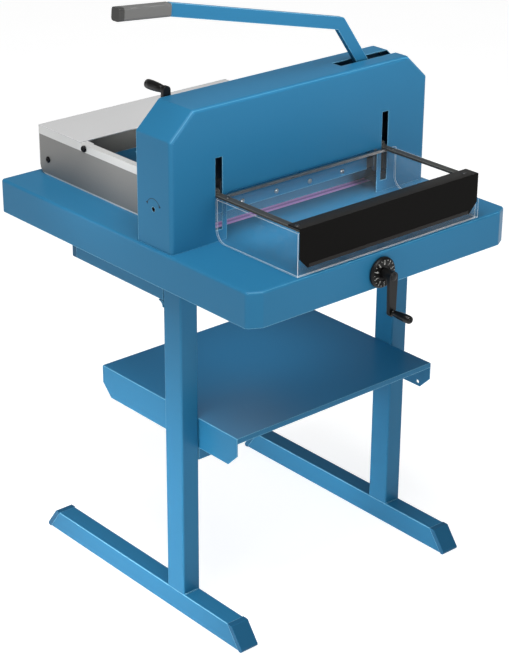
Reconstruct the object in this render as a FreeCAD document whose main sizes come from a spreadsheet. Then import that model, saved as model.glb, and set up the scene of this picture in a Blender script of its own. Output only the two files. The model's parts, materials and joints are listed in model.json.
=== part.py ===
import FreeCAD
import Part
import math
import os
import re
import Sketcher

# Stack paper cutter on a stand. Millimetres, +Z up. X runs along the housing, Y from the
# operator's side to the back, and Y 0 of the formulas is the housing's front face.
V = FreeCAD.Vector
os.makedirs("parts", exist_ok=True)
doc = FreeCAD.newDocument("stack_cutter")
sheet = doc.addObject("Spreadsheet::Sheet", "Sizes")

SIZES = [
    # Stand
    ("post_x", 297.5, "middle of the posts and feet from the machine's middle plane"),
    ("tube_w", 44, "width of every stand tube"),
    ("tube_wall", 3, "wall of every stand tube"),
    ("tube_round", 4, "rounding of the tube edges"),
    ("origin_x", 37.826, "the model's origin left of the machine's middle plane"),
    ("origin_y", 123.68, "the model's origin behind the housing's front face"),
    ("foot_front", -187, "front end of the feet on the floor"),
    ("foot_back", 508, "rear end of the feet on the floor"),
    ("foot_high", 50, "height of the feet"),
    ("foot_slant", 37, "how far the sloping foot ends lean back"),
    ("cap_thick", 14, "thickness of the tube end caps"),
    ("cap_round", 5, "rounding of the lower edge of the foot caps"),
    ("post_front", 6, "front face of the posts"),
    ("post_back", 61, "rear face of the posts"),
    ("rail_high", 48, "height of the top rails"),
    ("rail_back", 366, "rear end of the top rails"),
    ("gusset", 14, "reach of the rounded corner between post and rail"),
    ("gusset_web", 2, "least thickness of that corner piece"),
    # Shelf
    ("shelf_z", 455, "upper face of the shelf"),
    ("shelf_thick", 2, "sheet of the shelf"),
    ("shelf_front", -115, "front edge of the shelf"),
    ("shelf_back", 333, "rear edge of the shelf"),
    ("shelf_round", 3, "bend along the shelf's sides"),
    ("flange_high", 68, "depth of the shelf's side flanges"),
    ("flange_cut", 28, "corner cut of the side flanges"),
    ("lip_high", 12, "depth of the shelf's front and rear lips"),
    ("shelf_hole", 4, "radius of the holes in the flanges"),
    ("shelf_hole_in", 35, "those holes from the shelf's ends"),
    ("shelf_hole_up", 10, "those holes above the flange's lower edge"),
    ("bracket_in", 36, "reach of the shelf brackets"),
    ("bracket_high", 28, "height of the shelf brackets"),
    ("bracket_thick", 4, "plate of the shelf brackets"),
    ("bracket_hole_up", 12, "bracket screws above the bracket's lower edge"),
    ("flange_hole_down", 31, "flange screws below the shelf"),
    ("shelf_screw", 3, "radius of the shelf screws"),
    ("shelf_screw_head", 5.5, "radius of their heads"),
    ("shelf_screw_high", 2.5, "height of their heads"),
    ("shelf_screw_long", 8, "length of their shanks"),
    ("screw_in", 14, "shelf screws from the post's faces"),
    # Table
    ("table_z", 831, "upper face of the table"),
    ("table_high", 74, "height of the table's apron"),
    ("table_over", 7, "table's ends beyond the housing's"),
    ("table_front", -244, "front edge of the table"),
    ("table_back", 579, "rear edge of the table"),
    ("table_plate", 14, "thickness of the table plate"),
    ("apron", 8, "thickness of the apron"),
    ("corner_x", 29, "front corner cut along X"),
    ("corner_y", 16, "front corner cut along Y"),
    ("table_round", 8, "rounding of the upright corners"),
    ("table_top_round", 6, "rounding of the upper edge"),
    ("pad_w", 24, "width of the cast pads over the rails"),
    ("stick_y", 60, "front face of the cutting stick"),
    ("stick_w", 24, "width of the cutting stick"),
    ("stick_high", 10, "height of the cutting stick"),
    ("stick_half", 247, "half the cutting stick's length"),
    ("snug", 0.15, "clearance of a piece in its groove"),
    # Housing
    ("house_half", 344, "half the housing's length"),
    ("house_deep", 105, "depth of the housing"),
    ("house_high", 280, "height of the housing over the table"),
    ("house_wall", 2, "sheet of the housing"),
    ("slope_x", 57, "sloping shoulder along X"),
    ("slope_z", 52.5, "sloping shoulder along Z"),
    ("bend", 8, "outer radius of the front bends"),
    ("slope_bend", 5, "outer radius of the shoulder bends"),
    ("arm_x", 225, "middle of the guard arms and of their slots"),
    ("slot_w", 18, "width of the guard slots"),
    ("slot_low", 24, "lower end of the guard slots over the table"),
    ("slot_high", 150, "height of the guard slots"),
    ("throat_side", 139, "width of the housing's front beside the throat"),
    ("throat_high", 97, "height of the throat"),
    ("back_open_half", 250, "half the opening in the rear panel"),
    ("back_screw_x", 120, "spacing of the rear panel screws"),
    ("back_screw_up", 174, "rear panel screws over the table"),
    ("panel_gap", 0.2, "clearance of the rear panel in the housing"),
    # Frame inside the housing
    ("side_thick", 10, "thickness of the side frames"),
    ("side_front", 10, "front edge of the side frames"),
    ("side_drop", 8, "frame tops below the shoulder's foot"),
    ("side_foot", 16, "reach of the side frames' feet"),
    ("side_foot_high", 12, "height of those feet"),
    ("beam_front", 22, "front face of the front beam"),
    ("beam_thick", 12, "thickness of the front beam"),
    ("rear_beam_front", 88, "front face of the rear beam"),
    ("beam_low", 120, "lower edge of both beams over the table"),
    ("beam_rise", 25, "middle part of the beams above their ends"),
    ("beam_inset", 5, "middle part's ends inside the shoulder"),
    ("plate_gap", 22, "gap between the throat plate's ends and the knife guides"),
    ("plate_thick", 3, "thickness of the throat plate"),
    ("plate_low", 42, "lower edge of the throat plate over the table"),
    ("plate_top", 144, "upper edge of the throat plate over the table"),
    ("throat_screw_x", 91, "spacing of the throat screws"),
    ("throat_screw_up", 53, "throat screws over the table"),
    ("throat_screw", 3, "radius of the throat screws"),
    ("throat_head", 5.5, "radius of their heads"),
    ("throat_head_high", 2.5, "height of their heads"),
    # Knife
    ("carrier_front", 42, "front face of the knife carrier"),
    ("carrier_thick", 14, "thickness of the knife carrier"),
    ("hub_gap", 12.7, "clearance of the right knife guide from the lever's hub"),
    ("carrier_low", 84, "carrier's lower edge over the table, raised"),
    ("carrier_high", 80, "height of the carrier"),
    ("lug_high", 28, "height of the carrier's lug"),
    ("lug_low", 90, "lug's lower edge over the table, raised"),
    ("lug_end_gap", 2.5, "lug's end from the side frame"),
    ("run_gap", 0.3, "clearance of the carrier in its guide"),
    ("guide_web", 12, "web of the knife guides"),
    ("guide_lap", 14, "how far the guides lap the carrier's ends"),
    ("guide_lip", 4, "rear lip of the knife guides"),
    ("guide_low", 34, "guides' lower end over the table"),
    ("guide_top", 160, "guides' upper end over the table"),
    ("strip_low", 44, "lower edge of the cross strip over the table"),
    ("strip_high", 20, "height of the cross strip"),
    ("window_top", 126, "upper edge of the lug's window over the table"),
    ("knife_gap", 1, "clearance of the knife's ends from its guides"),
    ("knife_thick", 9.5, "thickness of the knife"),
    ("knife_lift", 44, "knife's edge over the table, raised"),
    ("knife_high", 92, "height of the knife"),
    ("bevel", 20, "height of the knife's bevel"),
    ("knife_screw", 4, "radius of the knife screws"),
    ("knife_head", 6.5, "radius of their heads"),
    ("knife_head_high", 3.5, "height of their heads"),
    ("knife_screw_x", 120, "spacing of the knife screws"),
    ("knife_screw_up", 120, "knife screws over the table, raised"),
    ("knife_screw_long", 19, "length of their shanks"),
    ("adjust_y", 55, "depth adjuster along Y"),
    ("adjust_up", 80, "depth adjuster over the table"),
    ("adjust_r", 4.9, "radius of the depth adjuster"),
    ("adjust_collar", 8, "radius of its collar"),
    ("adjust_socket", 2.8, "half width of its socket"),
    ("adjust_deep", 6, "depth of its socket"),
    ("adjust_long", 18, "length of the depth adjuster"),
    ("bore_gap", 0.08, "radial clearance of a shaft in its bore"),
    # Lever
    ("lever_in", 52.5, "lever shaft from the housing's right end"),
    ("lever_z", 975, "lever shaft over the floor"),
    ("lever_y", 51.5, "middle plane of the lever bar"),
    ("lever_thick", 12, "thickness of the lever bar"),
    ("lever_w", 26, "width of the lever bar"),
    ("lever_low_turn", 125.27, "direction of the lower leg in degrees"),
    ("lever_low_long", 271.9, "length of the lower leg"),
    ("lever_up_turn", 166.93, "direction of the upper leg in degrees"),
    ("lever_up_long", 449.1, "length of the upper leg"),
    ("grip_turn", 175, "direction of the grip in degrees"),
    ("grip_long", 111, "grip's rear end from the bar's end"),
    ("grip_seat", 2, "start of the grip on the tang"),
    ("grip_deep", 24, "depth of the grip along Y"),
    ("grip_round", 6, "rounding of the grip"),
    ("grip_cap", 12, "length of the grip's end cap"),
    ("tang_w", 17, "width of the tang in the grip"),
    ("tang_thick", 8, "thickness of the tang"),
    ("tang_long", 100, "length of the tang"),
    ("hub_r", 22, "radius of the lever's hub"),
    ("crank_r", 28.7, "lever crank's radius"),
    ("crank_swing", 50, "crank's angle above level at rest in degrees"),
    ("lobe_r", 10, "radius of the crank's end"),
    ("shaft_r", 9, "radius of the lever shaft"),
    ("bush_r", 14, "radius of the lever bushes"),
    ("pin_r", 4, "radius of the drive pins"),
    ("pin_head", 6, "radius of the crank pin's head"),
    ("pin_head_high", 3, "height of that head"),
    ("link_long", 60, "length of the drive link"),
    ("link_half", 7, "half the link's width"),
    ("link_thick", 6, "thickness of the link"),
    ("face_gap", 0.5, "clearance between turning faces"),
    ("pin_float", 2, "height left around the link pin in the lug"),
    ("lever_slot_w", 27, "width of the slot for the lever"),
    ("lever_slot_long", 161.5, "that slot's reach on the housing's top, left of the shaft"),
    ("lever_slot_low", 144, "lower end of that slot over the table"),
    # Clamp
    ("clamp_front", 80, "front face of the clamp"),
    ("clamp_thick", 20, "thickness of the clamp"),
    ("clamp_gap", 1.5, "clearance of the clamp's ends from the side frames' feet"),
    ("clamp_rest", 1, "clamp over the table, lowered"),
    ("clamp_high", 60, "height of the clamp"),
    ("rod_in", 12, "clamp rods from the clamp's ends"),
    ("rod_r", 6, "radius of the clamp rods"),
    ("crank_in", 78.5, "clamp shaft from the housing's left end"),
    ("crank_up", 214, "clamp shaft over the table"),
    ("pitch_r", 12, "pitch radius of the pinion"),
    ("root_r", 9.7, "root radius of the pinion"),
    ("tip_r", 13.6, "tip radius of the pinion"),
    ("tooth_w", 2.2, "thickness of the teeth"),
    ("rack_root", 2, "rack's root line outside the pitch line"),
    ("rack_tip", 1.4, "rack's tips inside the pitch line"),
    ("rack_w", 14, "width of the rack's bar"),
    ("rack_deep", 16, "depth of the rack along Y"),
    ("rack_top", 230, "rack's upper end over the table, lowered"),
    ("clamp_shaft_r", 6, "radius of the clamp shaft"),
    ("collar_r", 9, "radius of the shaft's collar"),
    ("arm_gap", 2, "crank arm from the rear panel"),
    ("arm_thick", 8, "thickness of both crank arms"),
    ("clamp_arm", 76, "length of the clamp crank's arm"),
    ("clamp_arm_hub", 12, "hub radius of the clamp crank"),
    ("clamp_arm_tip", 9, "tip radius of the clamp crank's arm"),
    ("clamp_grip_long", 56, "length of the clamp crank's grip"),
    ("clamp_grip_r", 10, "large radius of that grip"),
    ("clamp_grip_small", 8, "small radius of that grip"),
    ("axle_r", 3, "radius of the grip axles"),
]
SIZES += [
    # Front guard
    ("pivot_y", 14, "guard pivot along Y"),
    ("pivot_up", 98, "guard pivot over the table"),
    ("hood_left", -236, "left face of the hood"),
    ("hood_right", 256, "right face of the hood"),
    ("hood_front", -242, "front face of the hood"),
    ("hood_back", -4, "rear edge of the hood"),
    ("hood_low", 3, "lower edge of the hood over the table"),
    ("hood_top", 93, "upper face of the hood over the table"),
    ("hood_wall", 4, "sheet of the hood"),
    ("hood_round", 25, "rounded lower rear corners of the hood"),
    ("hood_bend", 5, "bends along the hood's top"),
    ("panel_left", -233, "left end of the front panel"),
    ("panel_right", 249, "right end of the front panel"),
    ("panel_low", 18, "lower edge of the front panel over the table"),
    ("panel_thick", 2, "sheet of the front panel"),
    ("panel_cut", 21, "cut lower corners of the front panel"),
    ("panel_lip", 32, "depth of the panel's upper flange"),
    ("arm_w", 15, "width of the guard arms"),
    ("arm_bar", 5, "thickness of the guard arms"),
    ("eye_r", 8, "radius of the guard arms' eyes"),
    ("rod_wide", 6, "section of the rear rod"),
    ("rod_back", -10, "rear face of the rear rod"),
    ("block_w", 14, "width of the hinge blocks"),
    ("block_gap", 2.5, "hinge blocks from the guard arms"),
    ("block_fore", 7, "front of the hinge blocks before the pivot"),
    ("block_low", 86, "lower end of the hinge blocks over the table"),
    ("guard_pin", 4, "radius of the guard pins"),
    ("guard_screw_y", -227, "front guard screws along Y"),
    ("guard_screw_back", -26, "rear guard screws along Y"),
    ("guard_screw", 2.5, "radius of the guard screws"),
    ("guard_head", 5, "radius of their heads"),
    ("guard_head_high", 2, "height of their heads"),
    # Rear guard
    ("rear_half", 260.5, "half the rear guard's width"),
    ("rear_wall", 8, "thickness of its sides"),
    ("rear_end", 560, "rear end of the rear guard"),
    ("rear_high", 87.5, "height of its side walls"),
    ("rear_round", 22, "rounded lower rear corners"),
    ("rear_rail_w", 16, "width of its rails"),
    ("rear_rail_high", 17, "height of its rails"),
    ("back_thick", 4, "thickness of its back"),
    ("back_flange", 46, "depth of the back's flanges"),
    ("cover_y", 394, "cover pivot along Y"),
    ("cover_down", 9, "cover pivot under the rails' tops"),
    ("cover_lap", 14, "cover's front edge behind its pivot"),
    ("cover_fore", 6, "ears of the cover in front of its pivot"),
    ("cover_thick", 2.5, "sheet of the cover"),
    ("ear_thick", 3.5, "thickness of the cover's ears"),
    ("ear_w", 30, "width of the cover's ears"),
    ("knob_r", 7, "radius of the hinge knobs and side screws"),
    ("knob_long", 6, "length of the hinge knobs"),
    ("knob_shank", 4, "radius of their shanks"),
    ("side_screw_y", 528, "side screws along Y"),
    ("side_screw_up", 36, "side screws over the table"),
    ("side_screw_long", 11, "length of their shanks"),
    ("guide_w", 16, "width of the side guide"),
    ("guide_high", 34, "height of the side guide"),
    ("guide_end", 506, "rear end of the side guide"),
    ("seam", 1, "clearance between guard parts"),
    # Back gauge
    ("gauge_y", 300, "front face of the gauge at rest"),
    ("gauge_half", 236, "half the gauge's length"),
    ("gauge_thick", 8, "thickness of the gauge's fence"),
    ("gauge_high", 58, "height of the fence"),
    ("gauge_foot", 37, "depth of the gauge's foot"),
    ("gauge_foot_high", 6, "thickness of the foot"),
    ("gauge_gap", 0.4, "gauge over the table"),
    ("gauge_fore", 190, "gauge travel to the front"),
    ("gauge_aft", 200, "gauge travel to the back"),
    ("spindle_x", -18.5, "spindle along X"),
    ("spindle_down", 42, "spindle under the table's upper face"),
    ("spindle_r", 6, "radius of the spindle"),
    ("spindle_end", 556, "rear end of the spindle"),
    ("nut_y", 312, "front face of the nut at rest"),
    ("nut_long", 20, "length of the nut along Y"),
    ("nut_half", 16, "half the nut's width"),
    ("nut_under", 12, "nut's lower face under the spindle"),
    ("nut_drop", 2, "nut's shoulder under the plate"),
    ("stem_half", 4.6, "half the width of the nut's stem"),
    ("slot_gap", 0.6, "stem's clearance in the table's slot"),
    ("slot_over", 2, "slot beyond the stem's travel"),
    ("front_bush_r", 10, "radius of the spindle's front bush"),
    ("rear_block_y", 544, "front face of the rear bearing block"),
    ("rear_block_deep", 12, "depth of that block"),
    ("rear_block_half", 18, "half its width"),
    ("rear_block_low", 56, "its lower face under the table's top"),
    ("dial_r", 32, "radius of the dial"),
    ("dial_thick", 10, "thickness of the dial"),
    ("dial_gap", 1, "dial from the table's front"),
    ("hub_long", 26, "length of the front crank's hub"),
    ("front_hub_r", 11, "hub radius of the front crank"),
    ("front_tip_r", 9, "tip radius of the front crank"),
    ("front_arm", 75, "length of the front crank's arm"),
    ("front_grip_long", 50.7, "length of the front crank's grip"),
    ("front_grip_r", 8.5, "radius of the front crank's grip"),
    ("grip_end_wall", 4, "closed end of the crank grips"),
    # Bolts
    ("bolt_r", 4, "radius of the frame bolts"),
    ("bolt_head", 6.5, "radius of their heads"),
    ("bolt_head_high", 6, "height of their heads"),
    ("bolt_in", 10, "length of thread in the far piece"),
    ("frame_bolt_in", 7.5, "side frame bolts from the frames' faces"),
    ("frame_bolt_y", 30, "first side frame bolt along Y"),
    ("frame_bolt_pitch", 50, "spacing of the side frame bolts"),
    ("stand_bolt_y", 110, "first stand bolt along Y"),
    ("stand_bolt_pitch", 226, "spacing of the stand bolts"),
]
for row, (alias, value, note) in enumerate(SIZES, start=1):
    sheet.set(f"A{row}", note)
    sheet.set(f"B{row}", str(value))
    sheet.setAlias(f"B{row}", alias)
doc.recompute()
NAMES = {alias for alias, value, note in SIZES}

# Places that follow from the sizes above.
WORKED_OUT = {
    "table_half": "house_half + table_over",
    "side_in": "house_half - house_wall - side_thick",
    "frame_bolt_x": "side_in - frame_bolt_in",
    "lever_x": "house_half - lever_in",
    "lever_slot_x": "lever_x - lever_slot_long",
    "carrier_half": "lever_x - hub_r - hub_gap - guide_web - run_gap",
    "knife_half": "carrier_half - guide_lap - knife_gap",
    "plate_half": "carrier_half - guide_lap - plate_gap",
    "throat_half": "house_half - throat_side",
    "clamp_half": "side_in - side_foot - clamp_gap",
    "rod_x": "clamp_half - rod_in",
    "crank_x": "crank_in - house_half",
}


def ex(formula):
    """Turns each size's name in a formula into a reference to its cell."""
    def cell(match):
        word = match.group(0)
        if word in WORKED_OUT:
            return f"({ex(WORKED_OUT[word])})"
        return "Sizes." + word if word in NAMES else word
    return re.sub(r"[a-z_][a-z_0-9]*", cell, str(formula))


def bind(item, prop, formula):
    item.setExpression(prop, ex(formula))


def put(item, x, y, z):
    for axis, formula in zip("xyz", (x, y, z)):
        bind(item, "Placement.Base." + axis, formula)


def box(x, y, z):
    item = doc.addObject("Part::Box", "block")
    for prop, (low, high) in zip(("Length", "Width", "Height"), (x, y, z)):
        bind(item, prop, f"({high}) - ({low})")
    put(item, x[0], y[0], z[0])
    return item


ALONG = {
    "x": FreeCAD.Rotation(V(0, 1, 0), 90),
    "y": FreeCAD.Rotation(V(1, 0, 0), -90),
    "z": FreeCAD.Rotation(),
}


def rod(axis, centre, span, radius):
    """A cylinder along an axis; centre gives its other two coordinates."""
    item = doc.addObject("Part::Cylinder", "round")
    item.Placement = FreeCAD.Placement(V(), ALONG[axis])
    bind(item, "Radius", radius)
    bind(item, "Height", f"({span[1]}) - ({span[0]})")
    spots = list(centre)
    spots.insert("xyz".index(axis), span[0])
    put(item, *spots)
    return item


def leg(start, turn, length, width, thick):
    """A flat bar in a plane Y = constant, from start along a direction in degrees."""
    item = doc.addObject("Part::Box", "leg")
    bind(item, "Length", length)
    bind(item, "Width", thick)
    bind(item, "Height", width)
    item.Placement = FreeCAD.Placement(V(), FreeCAD.Rotation(V(0, -1, 0), 1))
    bind(item, "Placement.Rotation.Angle", f"({turn})")
    put(
        item,
        f"({start[0]}) + ({width}) / 2 * sin({turn})",
        f"lever_y - ({thick}) / 2",
        f"({start[1]}) - ({width}) / 2 * cos({turn})",
    )
    return item


PLANES = {"x": "YZ_Plane", "y": "XZ_Plane", "z": "XY_Plane"}
# Radius of the ring that an outline's points start from, before they are bound to their places.
RING = 10


def slab(axis, points, span):
    """A body padded along an axis from a polygon given in the other two coordinates."""
    body = doc.addObject("PartDesign::Body", "body")
    sketch = body.newObject("Sketcher::SketchObject", "outline")
    plane = [item for item in body.Origin.OriginFeatures if item.Role == PLANES[axis]][0]
    sketch.AttachmentSupport = [(plane, "")]
    sketch.MapMode = "FlatFace"
    start = f"-({span[1]})" if axis == "y" else span[0]
    bind(sketch, ".AttachmentOffset.Base.z", start)
    count = len(points)
    turns = [2 * math.pi * step / count for step in range(count)]
    ring = [V(RING * math.cos(turn), RING * math.sin(turn), 0) for turn in turns]
    for step in range(count):
        sketch.addGeometry(Part.LineSegment(ring[step], ring[(step + 1) % count]), False)
    for step in range(count):
        sketch.addConstraint(Sketcher.Constraint("Coincident", step, 2, (step + 1) % count, 1))
    for step, point in enumerate(points):
        for kind, size, formula in zip(("DistanceX", "DistanceY"), ring[step], point):
            index = sketch.addConstraint(Sketcher.Constraint(kind, -1, 1, step, 1, size))
            bind(sketch, f"Constraints[{index}]", formula)
    pad = body.newObject("PartDesign::Pad", "pad")
    pad.Profile = sketch
    bind(pad, "Length", f"({span[1]}) - ({span[0]})")
    doc.recompute()
    return body


def rect(first, second):
    low, high = 0, 1
    return [
        (first[low], second[low]),
        (first[high], second[low]),
        (first[high], second[high]),
        (first[low], second[high]),
    ]


def rounded(body, radius, wanted):
    """Rounds those straight edges of a body that wanted(direction, middle, box) accepts."""
    tip = body.Tip
    around = tip.Shape.BoundBox
    names = []
    for number, edge in enumerate(tip.Shape.Edges, start=1):
        if len(edge.Vertexes) < 2:
            continue
        first, last = edge.Vertexes[0].Point, edge.Vertexes[-1].Point
        way = last.sub(first)
        way.normalize()
        if wanted(way, (first + last) * 0.5, around):
            names.append(f"Edge{number}")
    fillet = body.newObject("PartDesign::Fillet", "rounding")
    fillet.Base = (tip, names)
    bind(fillet, "Radius", radius)
    doc.recompute()
    return body


def near(a, b):
    return abs(a - b) < 1e-4


def along(axis):
    unit = {"x": V(1, 0, 0), "y": V(0, 1, 0), "z": V(0, 0, 1)}[axis]
    return lambda way, middle, around: near(abs(way.dot(unit)), 1)


def join(*items):
    result = doc.addObject("Part::MultiFuse", "joined")
    result.Shapes = list(items)
    return result


def group(*items):
    result = doc.addObject("Part::Compound", "group")
    result.Links = list(items)
    return result


def cut(base, *tools):
    result = doc.addObject("Part::Cut", "cut")
    result.Base = base
    result.Tool = tools[0] if len(tools) == 1 else join(*tools)
    return result


def mirror(item):
    result = doc.addObject("Part::Mirroring", "mirrored")
    result.Source = item
    result.Normal = V(1, 0, 0)
    result.Base = V()
    return result


nodes = []


def node(name, item):
    """Names a finished piece and moves it to the model's own origin."""
    piece = group(item)
    piece.Label = name
    bind(piece, "Placement.Base.x", "origin_x")
    bind(piece, "Placement.Base.y", "-origin_y")
    nodes.append(piece)
    return piece


def up(size):
    return f"(table_z + {size})"


def screw(axis, centre, seat, outwards, head, head_high, shank, long):
    """A head standing outwards (+1 or -1) of its seat and a shank on the other side."""
    if outwards > 0:
        head_span = (seat, f"{seat} + {head_high}")
        shank_span = (f"{seat} - ({long})", seat)
    else:
        head_span = (f"{seat} - {head_high}", seat)
        shank_span = (seat, f"{seat} + ({long})")
    return join(rod(axis, centre, head_span, head), rod(axis, centre, shank_span, shank))


# Stand: two sloped feet, two posts on them and two top rails behind the posts.
UNDER = "(table_z - table_high)"
IN_X = "(post_x - tube_w / 2)"
OUT_X = "(post_x + tube_w / 2)"


def tube(axis, first, second, span, round_axis):
    """A square tube's outer body with rounded long edges."""
    return rounded(slab(axis, rect(first, second), span), "tube_round", along(round_axis))


def inner(low, high):
    return (f"{low} + tube_wall", f"{high} - tube_wall")


foot = slab("x", [
    ("foot_front + cap_thick", "0"),
    ("foot_back - cap_thick", "0"),
    ("foot_back - foot_slant - cap_thick", "foot_high"),
    ("foot_front + foot_slant + cap_thick", "foot_high"),
], (IN_X, OUT_X))
foot = rounded(foot, "tube_round", along("y"))
foot = cut(foot, box(inner(IN_X, OUT_X), ("foot_front", "foot_back"), inner("0", "foot_high")))
node("right_foot", foot)
node("left_foot", mirror(foot))


def foot_cap(end, slant, thick):
    cap = slab("x", [
        (end, "0"),
        (f"{end} + {slant}", "foot_high"),
        (f"{end} + {slant} + {thick}", "foot_high"),
        (f"{end} + {thick}", "0"),
    ], (IN_X, OUT_X))
    outer = "YMin" if thick == "cap_thick" else "YMax"

    def low_edge(way, middle, around):
        lengthwise = near(abs(way.x), 1) and near(middle.z, around.ZMin)
        return lengthwise and near(middle.y, getattr(around, outer))
    return rounded(cap, "cap_round", low_edge)


front_cap = foot_cap("foot_front", "foot_slant", "cap_thick")
back_cap = foot_cap("foot_back", "(-foot_slant)", "(-cap_thick)")
rail_cap = tube("y", (IN_X, OUT_X), (f"{UNDER} - rail_high", UNDER), ("rail_back - cap_thick", "rail_back"), "y")
node("tube_end_caps", group(
    front_cap, back_cap, rail_cap, mirror(front_cap), mirror(back_cap), mirror(rail_cap)))

post = tube("z", (IN_X, OUT_X), ("post_front", "post_back"), ("foot_high", UNDER), "z")
post = cut(post, box(inner(IN_X, OUT_X), inner("post_front", "post_back"), ("0", "table_z")))
SCREW_YS = ("post_front + screw_in", "post_back - screw_in")
BRACKET_LOW = "(shelf_z - flange_high - bracket_high)"
SCREW_ZS = (f"{BRACKET_LOW} + bracket_hole_up", "shelf_z - flange_hole_down")
post = cut(post, *[
    rod("x", (y, z), (f"{IN_X} - 1", f"{IN_X} + tube_wall + 1"), "shelf_screw")
    for y in SCREW_YS for z in SCREW_ZS])
node("right_post", post)
node("left_post", mirror(post))

rail = tube("y", (IN_X, OUT_X), (f"{UNDER} - rail_high", UNDER), ("post_back", "rail_back - cap_thick"), "y")
rail = cut(rail, box(inner(IN_X, OUT_X), ("post_back - 1", "rail_back"), inner(f"{UNDER} - rail_high", UNDER)))
corner = cut(
    box((IN_X, OUT_X), ("post_back", "post_back + gusset"),
        (f"{UNDER} - rail_high - gusset", f"{UNDER} - rail_high")),
    rod("x", ("post_back + gusset", f"{UNDER} - rail_high - gusset"), (f"{IN_X} - 1", f"{OUT_X} + 1"),
        "gusset - gusset_web"))
STAND_BOLTS = ("stand_bolt_y", "stand_bolt_y + stand_bolt_pitch")
rail = cut(join(rail, corner), *[
    rod("z", ("post_x", y), (f"{UNDER} - rail_high - 1", f"{UNDER} + 1"), "bolt_r + snug") for y in STAND_BOLTS])
node("right_top_rail", rail)
node("left_top_rail", mirror(rail))

# Shelf: one folded sheet between the posts, on two brackets.
FLANGE_LOW = "(shelf_z - flange_high)"
SHELF_IN = f"({IN_X} - shelf_thick)"
shelf = slab("y", [
    (f"-{IN_X}", FLANGE_LOW),
    (f"-{SHELF_IN}", FLANGE_LOW),
    (f"-{SHELF_IN}", "shelf_z - shelf_thick"),
    (SHELF_IN, "shelf_z - shelf_thick"),
    (SHELF_IN, FLANGE_LOW),
    (IN_X, FLANGE_LOW),
    (IN_X, "shelf_z"),
    (f"-{IN_X}", "shelf_z"),
], ("shelf_front", "shelf_back"))
shelf = rounded(
    shelf, "shelf_round",
    lambda way, middle, around: near(abs(way.y), 1) and near(middle.z, around.ZMax))
ends = []
for end, inwards in (("shelf_front", "+"), ("shelf_back", "-")):
    ends.append(slab("x", [
        (end, f"{FLANGE_LOW} - 1"),
        (f"{end} {inwards} flange_cut", f"{FLANGE_LOW} - 1"),
        (f"{end} {inwards} flange_cut", FLANGE_LOW),
        (end, f"{FLANGE_LOW} + flange_cut"),
    ], (f"-{OUT_X}", OUT_X)))
    ends.append(rod("x", (f"{end} {inwards} shelf_hole_in", f"{FLANGE_LOW} + shelf_hole_up"),
                    ("0", OUT_X), "shelf_hole"))
ends += [rod("x", (y, SCREW_ZS[1]), (f"-{OUT_X}", OUT_X), "shelf_screw + snug") for y in SCREW_YS]
lips = [
    box((f"-{SHELF_IN}", SHELF_IN), ys, ("shelf_z - lip_high", "shelf_z - shelf_thick"))
    for ys in (("shelf_front", "shelf_front + shelf_thick"), ("shelf_back - shelf_thick", "shelf_back"))]
node("shelf", join(cut(shelf, *ends), *lips))

bracket = slab("y", [
    (IN_X, BRACKET_LOW),
    (IN_X, FLANGE_LOW),
    (f"{IN_X} - bracket_in", FLANGE_LOW),
    (f"{IN_X} - bracket_in", f"{FLANGE_LOW} - bracket_thick"),
    (f"{IN_X} - bracket_thick", f"{FLANGE_LOW} - bracket_thick"),
    (f"{IN_X} - bracket_thick", BRACKET_LOW),
], ("post_front", "post_back"))
web = box((f"{IN_X} - bracket_in", IN_X), ("post_front", "post_front + bracket_thick"),
          (BRACKET_LOW, FLANGE_LOW))
bracket = cut(join(bracket, web), *[
    rod("x", (y, SCREW_ZS[0]), (f"{IN_X} - bracket_in", f"{IN_X} + 1"), "shelf_screw + snug") for y in SCREW_YS])
node("right_shelf_bracket", bracket)
node("left_shelf_bracket", mirror(bracket))
screws = []
for z, seat in zip(SCREW_ZS, (f"{IN_X} - bracket_thick", SHELF_IN)):
    for y in SCREW_YS:
        one = screw("x", (y, z), seat, -1, "shelf_screw_head", "shelf_screw_high", "shelf_screw",
                    "shelf_screw_long")
        screws += [one, mirror(one)]
node("shelf_screws", group(*screws))

# Table: a casting with an apron, two pads over the rails, a groove and a slot.
PLATE_LOW = "(table_z - table_plate)"
table = slab("z", [
    ("-table_half", "table_back"),
    ("-table_half", "table_front + corner_y"),
    ("-table_half + corner_x", "table_front"),
    ("table_half - corner_x", "table_front"),
    ("table_half", "table_front + corner_y"),
    ("table_half", "table_back"),
], (UNDER, "table_z"))
table = rounded(table, "table_round", along("z"))
table = rounded(
    table, "table_top_round",
    lambda way, middle, around: near(abs(way.z), 0) and near(middle.z, around.ZMax))
PAD_IN = "(post_x - pad_w / 2)"
PAD_OUT = "(post_x + pad_w / 2)"
DEEP = (f"{UNDER} - 1", PLATE_LOW)
GROOVE = ("stick_y - snug", "stick_y + stick_w + snug")
STEM_X = ("spindle_x - stem_half - slot_gap", "spindle_x + stem_half + slot_gap")
STEM_Y = ("nut_y - gauge_fore - slot_over", "nut_y + nut_long + gauge_aft + slot_over")
SPINDLE = ("spindle_x", "table_z - spindle_down")
FRAME_BOLTS = ("frame_bolt_y", "frame_bolt_y + frame_bolt_pitch")
side_cell = box((PAD_OUT, "table_half - apron"), ("table_front + apron + corner_x", "table_back - apron"), DEEP)
bolt_holes = []
for y in FRAME_BOLTS:
    for x in ("-frame_bolt_x", "frame_bolt_x"):
        bolt_holes.append(rod("z", (x, y), (UNDER, up("1")), "bolt_r + snug"))
for y in STAND_BOLTS:
    for x in ("-post_x", "post_x"):
        bolt_holes.append(rod("z", (x, y), (f"{UNDER} - 1", f"{UNDER} + bolt_in"), "bolt_r"))
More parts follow.
